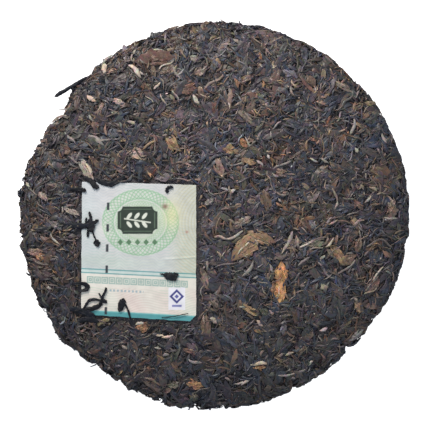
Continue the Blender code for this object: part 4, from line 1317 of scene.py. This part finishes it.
def printedTone(x, y):
    # the ticket's print, by place in millimetres; every tone is a screen tone
    tone = np.zeros((len(x), 3)) + (209, 208, 207)

    def lay(amount, colour):
        nonlocal tone
        amount = np.clip(amount, 0, 1)[:, None]
        tone = tone * (1 - amount) + np.array(colour, float) * amount

    def line(distance, halfWidth, soft=0.2):
        return 1 - smooth(halfWidth - soft, halfWidth + soft, np.abs(distance))

    def laySpot(amount, centre, size, colour):
        away = ((x - centre[0]) / size[0]) ** 2 + ((y - centre[1]) / size[1]) ** 2
        lay(amount * np.exp(-away), colour)

    def layPair(place, step, halfWidth, inside, colours):
        # even lines that change from one colour to the other along their length
        drawn = line((place % step) - step / 2, halfWidth) * inside
        lay(0.5 * drawn * hue, colours[0])
        lay(0.45 * drawn * (1 - hue), colours[1])

    # ground tints
    lay(0.75 * (1 - smooth(-64, -52, x)), (201, 206, 208))
    lay(0.75 * smooth(-27, -13, x), (201, 202, 181))
    lower = -27.1 + (x + 67) * (-2.8 / 58.3)  # the double line's height
    lay(0.6 * np.exp(-(((y - lower - 4) / 4) ** 2)) * (1 - smooth(-28, -18, x)), (196, 207, 196))
    lay(0.9 * smooth(0.5, -3.5, y - lower), (230, 224, 212))
    blush = smooth(-35, -42, y) * (0.5 + 0.5 * np.sin(x * 0.35 + y * 0.2))
    lay(0.4 * blush, (234, 206, 200))
    # fine wavy ground lines all over, in changing pale colours
    drift = y + 1.1 * np.sin(x * 0.42) + 0.5 * np.sin(x * 1.1 + 1)
    hue = 0.5 + 0.5 * np.sin(x * 0.16 + y * 0.11)
    layPair(drift, 1.5, 0.22, y > lower, ((166, 196, 184), (184, 189, 200)))
    sweep = y - 0.10 * (x + 38) + 1.6 * np.sin(x * 0.23 + 0.6)
    layPair(sweep, 1.3, 0.2, y < lower - 9, ((214, 188, 180), (178, 206, 180)))
    fan = np.hypot(x - 2, y + 4)
    lay(0.5 * line((fan % 1.6) - 0.8, 0.24) * smooth(-22, -15, x) * (y > lower), (186, 180, 148))
    # bands of interlaced waves in two greens, round an oval
    u, v = (x + 37.5) / 18.5, (y + 3.5) / 16.0
    ring = np.hypot(u, v)
    angle = np.arctan2(v, u)
    lay(0.55 * (1 - smooth(0.98, 1.1, ring)), (206, 213, 198))
    for start in range(6):
        swing = 0.15 * np.sin(angle * 8 + start * math.pi / 3)
        lay(0.7 * line((ring - 0.90 - swing) * 16, 0.3), (136, 184, 142))
    for start in range(4):
        swing = 0.08 * np.sin(angle * 12 + start * math.pi / 2)
        lay(0.55 * line((ring - 0.60 - swing) * 16, 0.27), (156, 196, 152))
    lay(0.4 * (1 - smooth(0.5, 0.62, ring)), (188, 200, 174))
    laySpot(0.6, (-21.5, 0.5), (4.5, 7.5), (232, 224, 164))
    laySpot(0.35, (-57, -7), (4, 5), (236, 226, 218))
    # a dark green plaque with a pale sprig of leaves
    px, py = x + 39.0, y + 2.4
    plaque = np.maximum(np.abs(px) / 10.2, np.abs(py) / 7.0)
    notch = np.hypot(np.abs(px) - 10.2, np.abs(py) - 7.0)
    lay((1 - smooth(0.97, 1.02, plaque)) * smooth(2.4, 2.7, notch), (42, 54, 44))
    inner = np.maximum(np.abs(px) / 9.0, np.abs(py) / 5.8)
    lay(0.5 * line((inner - 0.97) * 8, 0.22) * smooth(3.2, 3.5, notch), (150, 176, 146))
    lay(line(px * 0.15 + py + 0.2, 0.35) * (np.abs(px) < 6.9), (222, 224, 210))
    for side in (-1, 1):
        for step in range(3):
            cx, cy = -4.2 + step * 3.9, side * 2.2
            along = (px - cx) * math.cos(side * 0.9) + (py - cy) * math.sin(side * 0.9)
            off = -(px - cx) * math.sin(side * 0.9) + (py - cy) * math.cos(side * 0.9)
            lay(1 - smooth(0.8, 1.1, np.hypot(along / 2.1, off / 0.95)), (220, 222, 208))
    # a row of small green lozenges under the plaque
    for step in range(5):
        lozenge = np.abs(x + 39.0 - (step - 2) * 4.4) / 1.5 + np.abs(y + 13.6) / 1.7
        lay(0.85 * (1 - smooth(0.8, 1.1, lozenge)), (74, 112, 78))
    # the double line right across
    for drop in (0, -1.9):
        lay(0.95 * line(y - lower - drop, 0.24), (70, 142, 146))
    lay(0.35 * line(y - lower + 0.95, 0.7), (176, 214, 208))
    # a row of squares, one inside another, and a row of dashes below
    row = y - lower + 5.4
    square = np.maximum(np.abs((x + 65) % 3.7 - 1.85), np.abs(row) * 0.95)
    lay(0.66 * line(square % 0.9 - 0.5, 0.27) * (square < 1.75) * (x > -65) * (x < -13.5), (112, 156, 148))
    dashes = smooth(-0.3, 0.2, np.sin(x * 3.3)) * (x > -54) * (x < -36)
    lay(0.6 * line(row + 5.0, 0.55) * dashes, (122, 156, 172))
    # a small white panel with a violet lozenge and bar
    sx, sy = x + 19.0, y + 42.4
    lay((np.abs(sx) < 4.3) * (np.abs(sy) < 5.7) * 0.85, (238, 236, 244))
    lozenge = np.abs(sx) + np.abs(sy - 1.1)
    lay(line(lozenge - 3.0, 0.7), (62, 64, 128))
    lay(1 - smooth(0.9, 1.3, lozenge), (96, 98, 160))
    lay(line(sy + 3.7, 0.5) * (np.abs(sx) < 2.4), (120, 122, 176))
    # the teal band along the bottom edge
    upper = -48.7 + (x + 58) * (-2.45 / 44)
    lay(0.95 * smooth(0.25, -0.25, y - upper), (76, 152, 156))
    lay(0.6 * line(y - upper + 0.1, 0.35), (124, 194, 192))
    # dark dashes of a thread
    thread = -54.0 + (y - 5) * (1.2 / 53)
    for centre in (4.7, -6.3, -16.6, -27.4, -48.6):
        lay(0.92 * line(x - thread, 0.62) * line(y - centre, 1.9), (40, 44, 50))
    # stains from the leaf
    laySpot(0.8, (-25.0, 4.6), (1.4, 1.2), (126, 92, 80))
    laySpot(0.6, (-13.8, -8.4), (0.7, 0.6), (170, 96, 84))
    return tone


def sheetHeight(flat):
    solid = np.concatenate([flat, np.zeros((len(flat), 1))], 1)
    radius = np.hypot(flat[:, 0], flat[:, 1])
    rise = swell(solid, paper["swell"], 21) + swell(solid, paper["dimples"], 22)
    start, end = np.array(paper["foldFrom"]) * mm, np.array(paper["foldTo"]) * mm
    way = (end - start) / np.linalg.norm(end - start)
    off = (flat[:, 1] - start[1]) * way[0] - (flat[:, 0] - start[0]) * way[1]
    along = (flat - start) @ way
    rise += paper["foldRise"] * np.exp(-((off / paper["foldWidth"]) ** 2)) * smooth(-4 * mm, 2 * mm, along)
    return faceHeight(radius) + paper["lift"] + paper["thickness"] + rise


def makeTicket():
    deselectAll()
    columns, rows = paper["cells"]
    bpy.ops.mesh.primitive_grid_add(x_subdivisions=columns, y_subdivisions=rows, size=1)
    ticket = bpy.context.object
    ticket.name = "paperTicket"
    share = readVectors(ticket, "co")[:, :2] + 0.5
    corner = ticketCorners()
    u, v = share[:, :1], share[:, 1:]
    bottom = corner["bottomLeft"] * (1 - u) + corner["bottomRight"] * u
    top = corner["topLeft"] * (1 - u) + corner["topRight"] * u
    flat = bottom * (1 - v) + top * v
    ragged = np.minimum(np.minimum(u, 1 - u), np.minimum(v, 1 - v)) < 1e-4
    wander = waves(np.concatenate([flat, 0 * u], 1), 6 * mm, 23) * 0.10 * mm
    flat = flat + ragged * wander[:, None]
    putPoints(ticket, np.concatenate([flat, np.full((len(flat), 1), cadHigh[2] / 2)], 1))
    # the lower right corner is cut off
    cut = (corner["bottomRight"] + np.array((-ticketPlan["cutCorner"], ticketPlan["cutCorner"])) * mm / 2)
    pick(ticket)
    startEdit("SELECT")
    bpy.ops.mesh.bisect(plane_co=(cut[0], cut[1], 0), plane_no=(1, -1, 0), clear_outer=True)
    stopEdit()
    flat = readVectors(ticket, "co")[:, :2]
    putPoints(ticket, np.concatenate([flat, sheetHeight(flat)[:, None]], 1))
    paintPoints(ticket.data, "printTone", linear(printedTone(*flat.T / mm)))
    # the edge is drawn down to the paper's thickness and the underside closed
    pick(ticket)
    startEdit("SELECT")
    bpy.ops.mesh.region_to_loop()
    bpy.ops.mesh.extrude_region_move(TRANSFORM_OT_translate={"value": (0, 0, -paper["thickness"])})
    bpy.ops.mesh.edge_face_add()
    bpy.ops.mesh.poke()
    bpy.ops.mesh.select_all(action="SELECT")
    bpy.ops.mesh.normals_make_consistent(inside=False)
    stopEdit()
    ticket.data.shade_smooth()
    ticket.data.set_sharp_from_angle(angle=math.radians(50))
    print("ticket", len(ticket.data.polygons), "faces")
    return ticket


paperFinish = {
    "roughness": 0.55,
    "fibreSize": 900,
    "fibreBump": 0.25,
    "fibreDepth": 0.06 * mm,
    "mottleSize": 260,
    "mottle": (0.93, 1.04),
}


def makePaperMaterial():
    material, tree, shader = newMaterial("printedPaper")
    where = addNode(tree, "TexCoord", "Object", {})
    tone = addNode(tree, "Attribute", "Color", {}, attribute_name="printTone")
    mottle = addNoise(tree, where, paperFinish["mottleSize"], 4)
    fibre = addNoise(tree, where, paperFinish["fibreSize"], 5)
    plugIn(tree, shader, {
        "Base Color": addScale(tree, tone, addRange(tree, mottle, paperFinish["mottle"])),
        "Normal": addBump(tree, fibre, paperFinish["fibreBump"], paperFinish["fibreDepth"]),
        "Roughness": paperFinish["roughness"],
    })
    return material


ticket = makeTicket()
ticket.data.materials.append(makePaperMaterial())

# every piece rides on the cake's one body

for piece in (bed, *scattered, *marked, tufts, ticketLeaves, twig):
    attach(piece, "root")
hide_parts("tea_cake")
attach(ticket, "root")
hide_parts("ticket")

print("pieces placed")
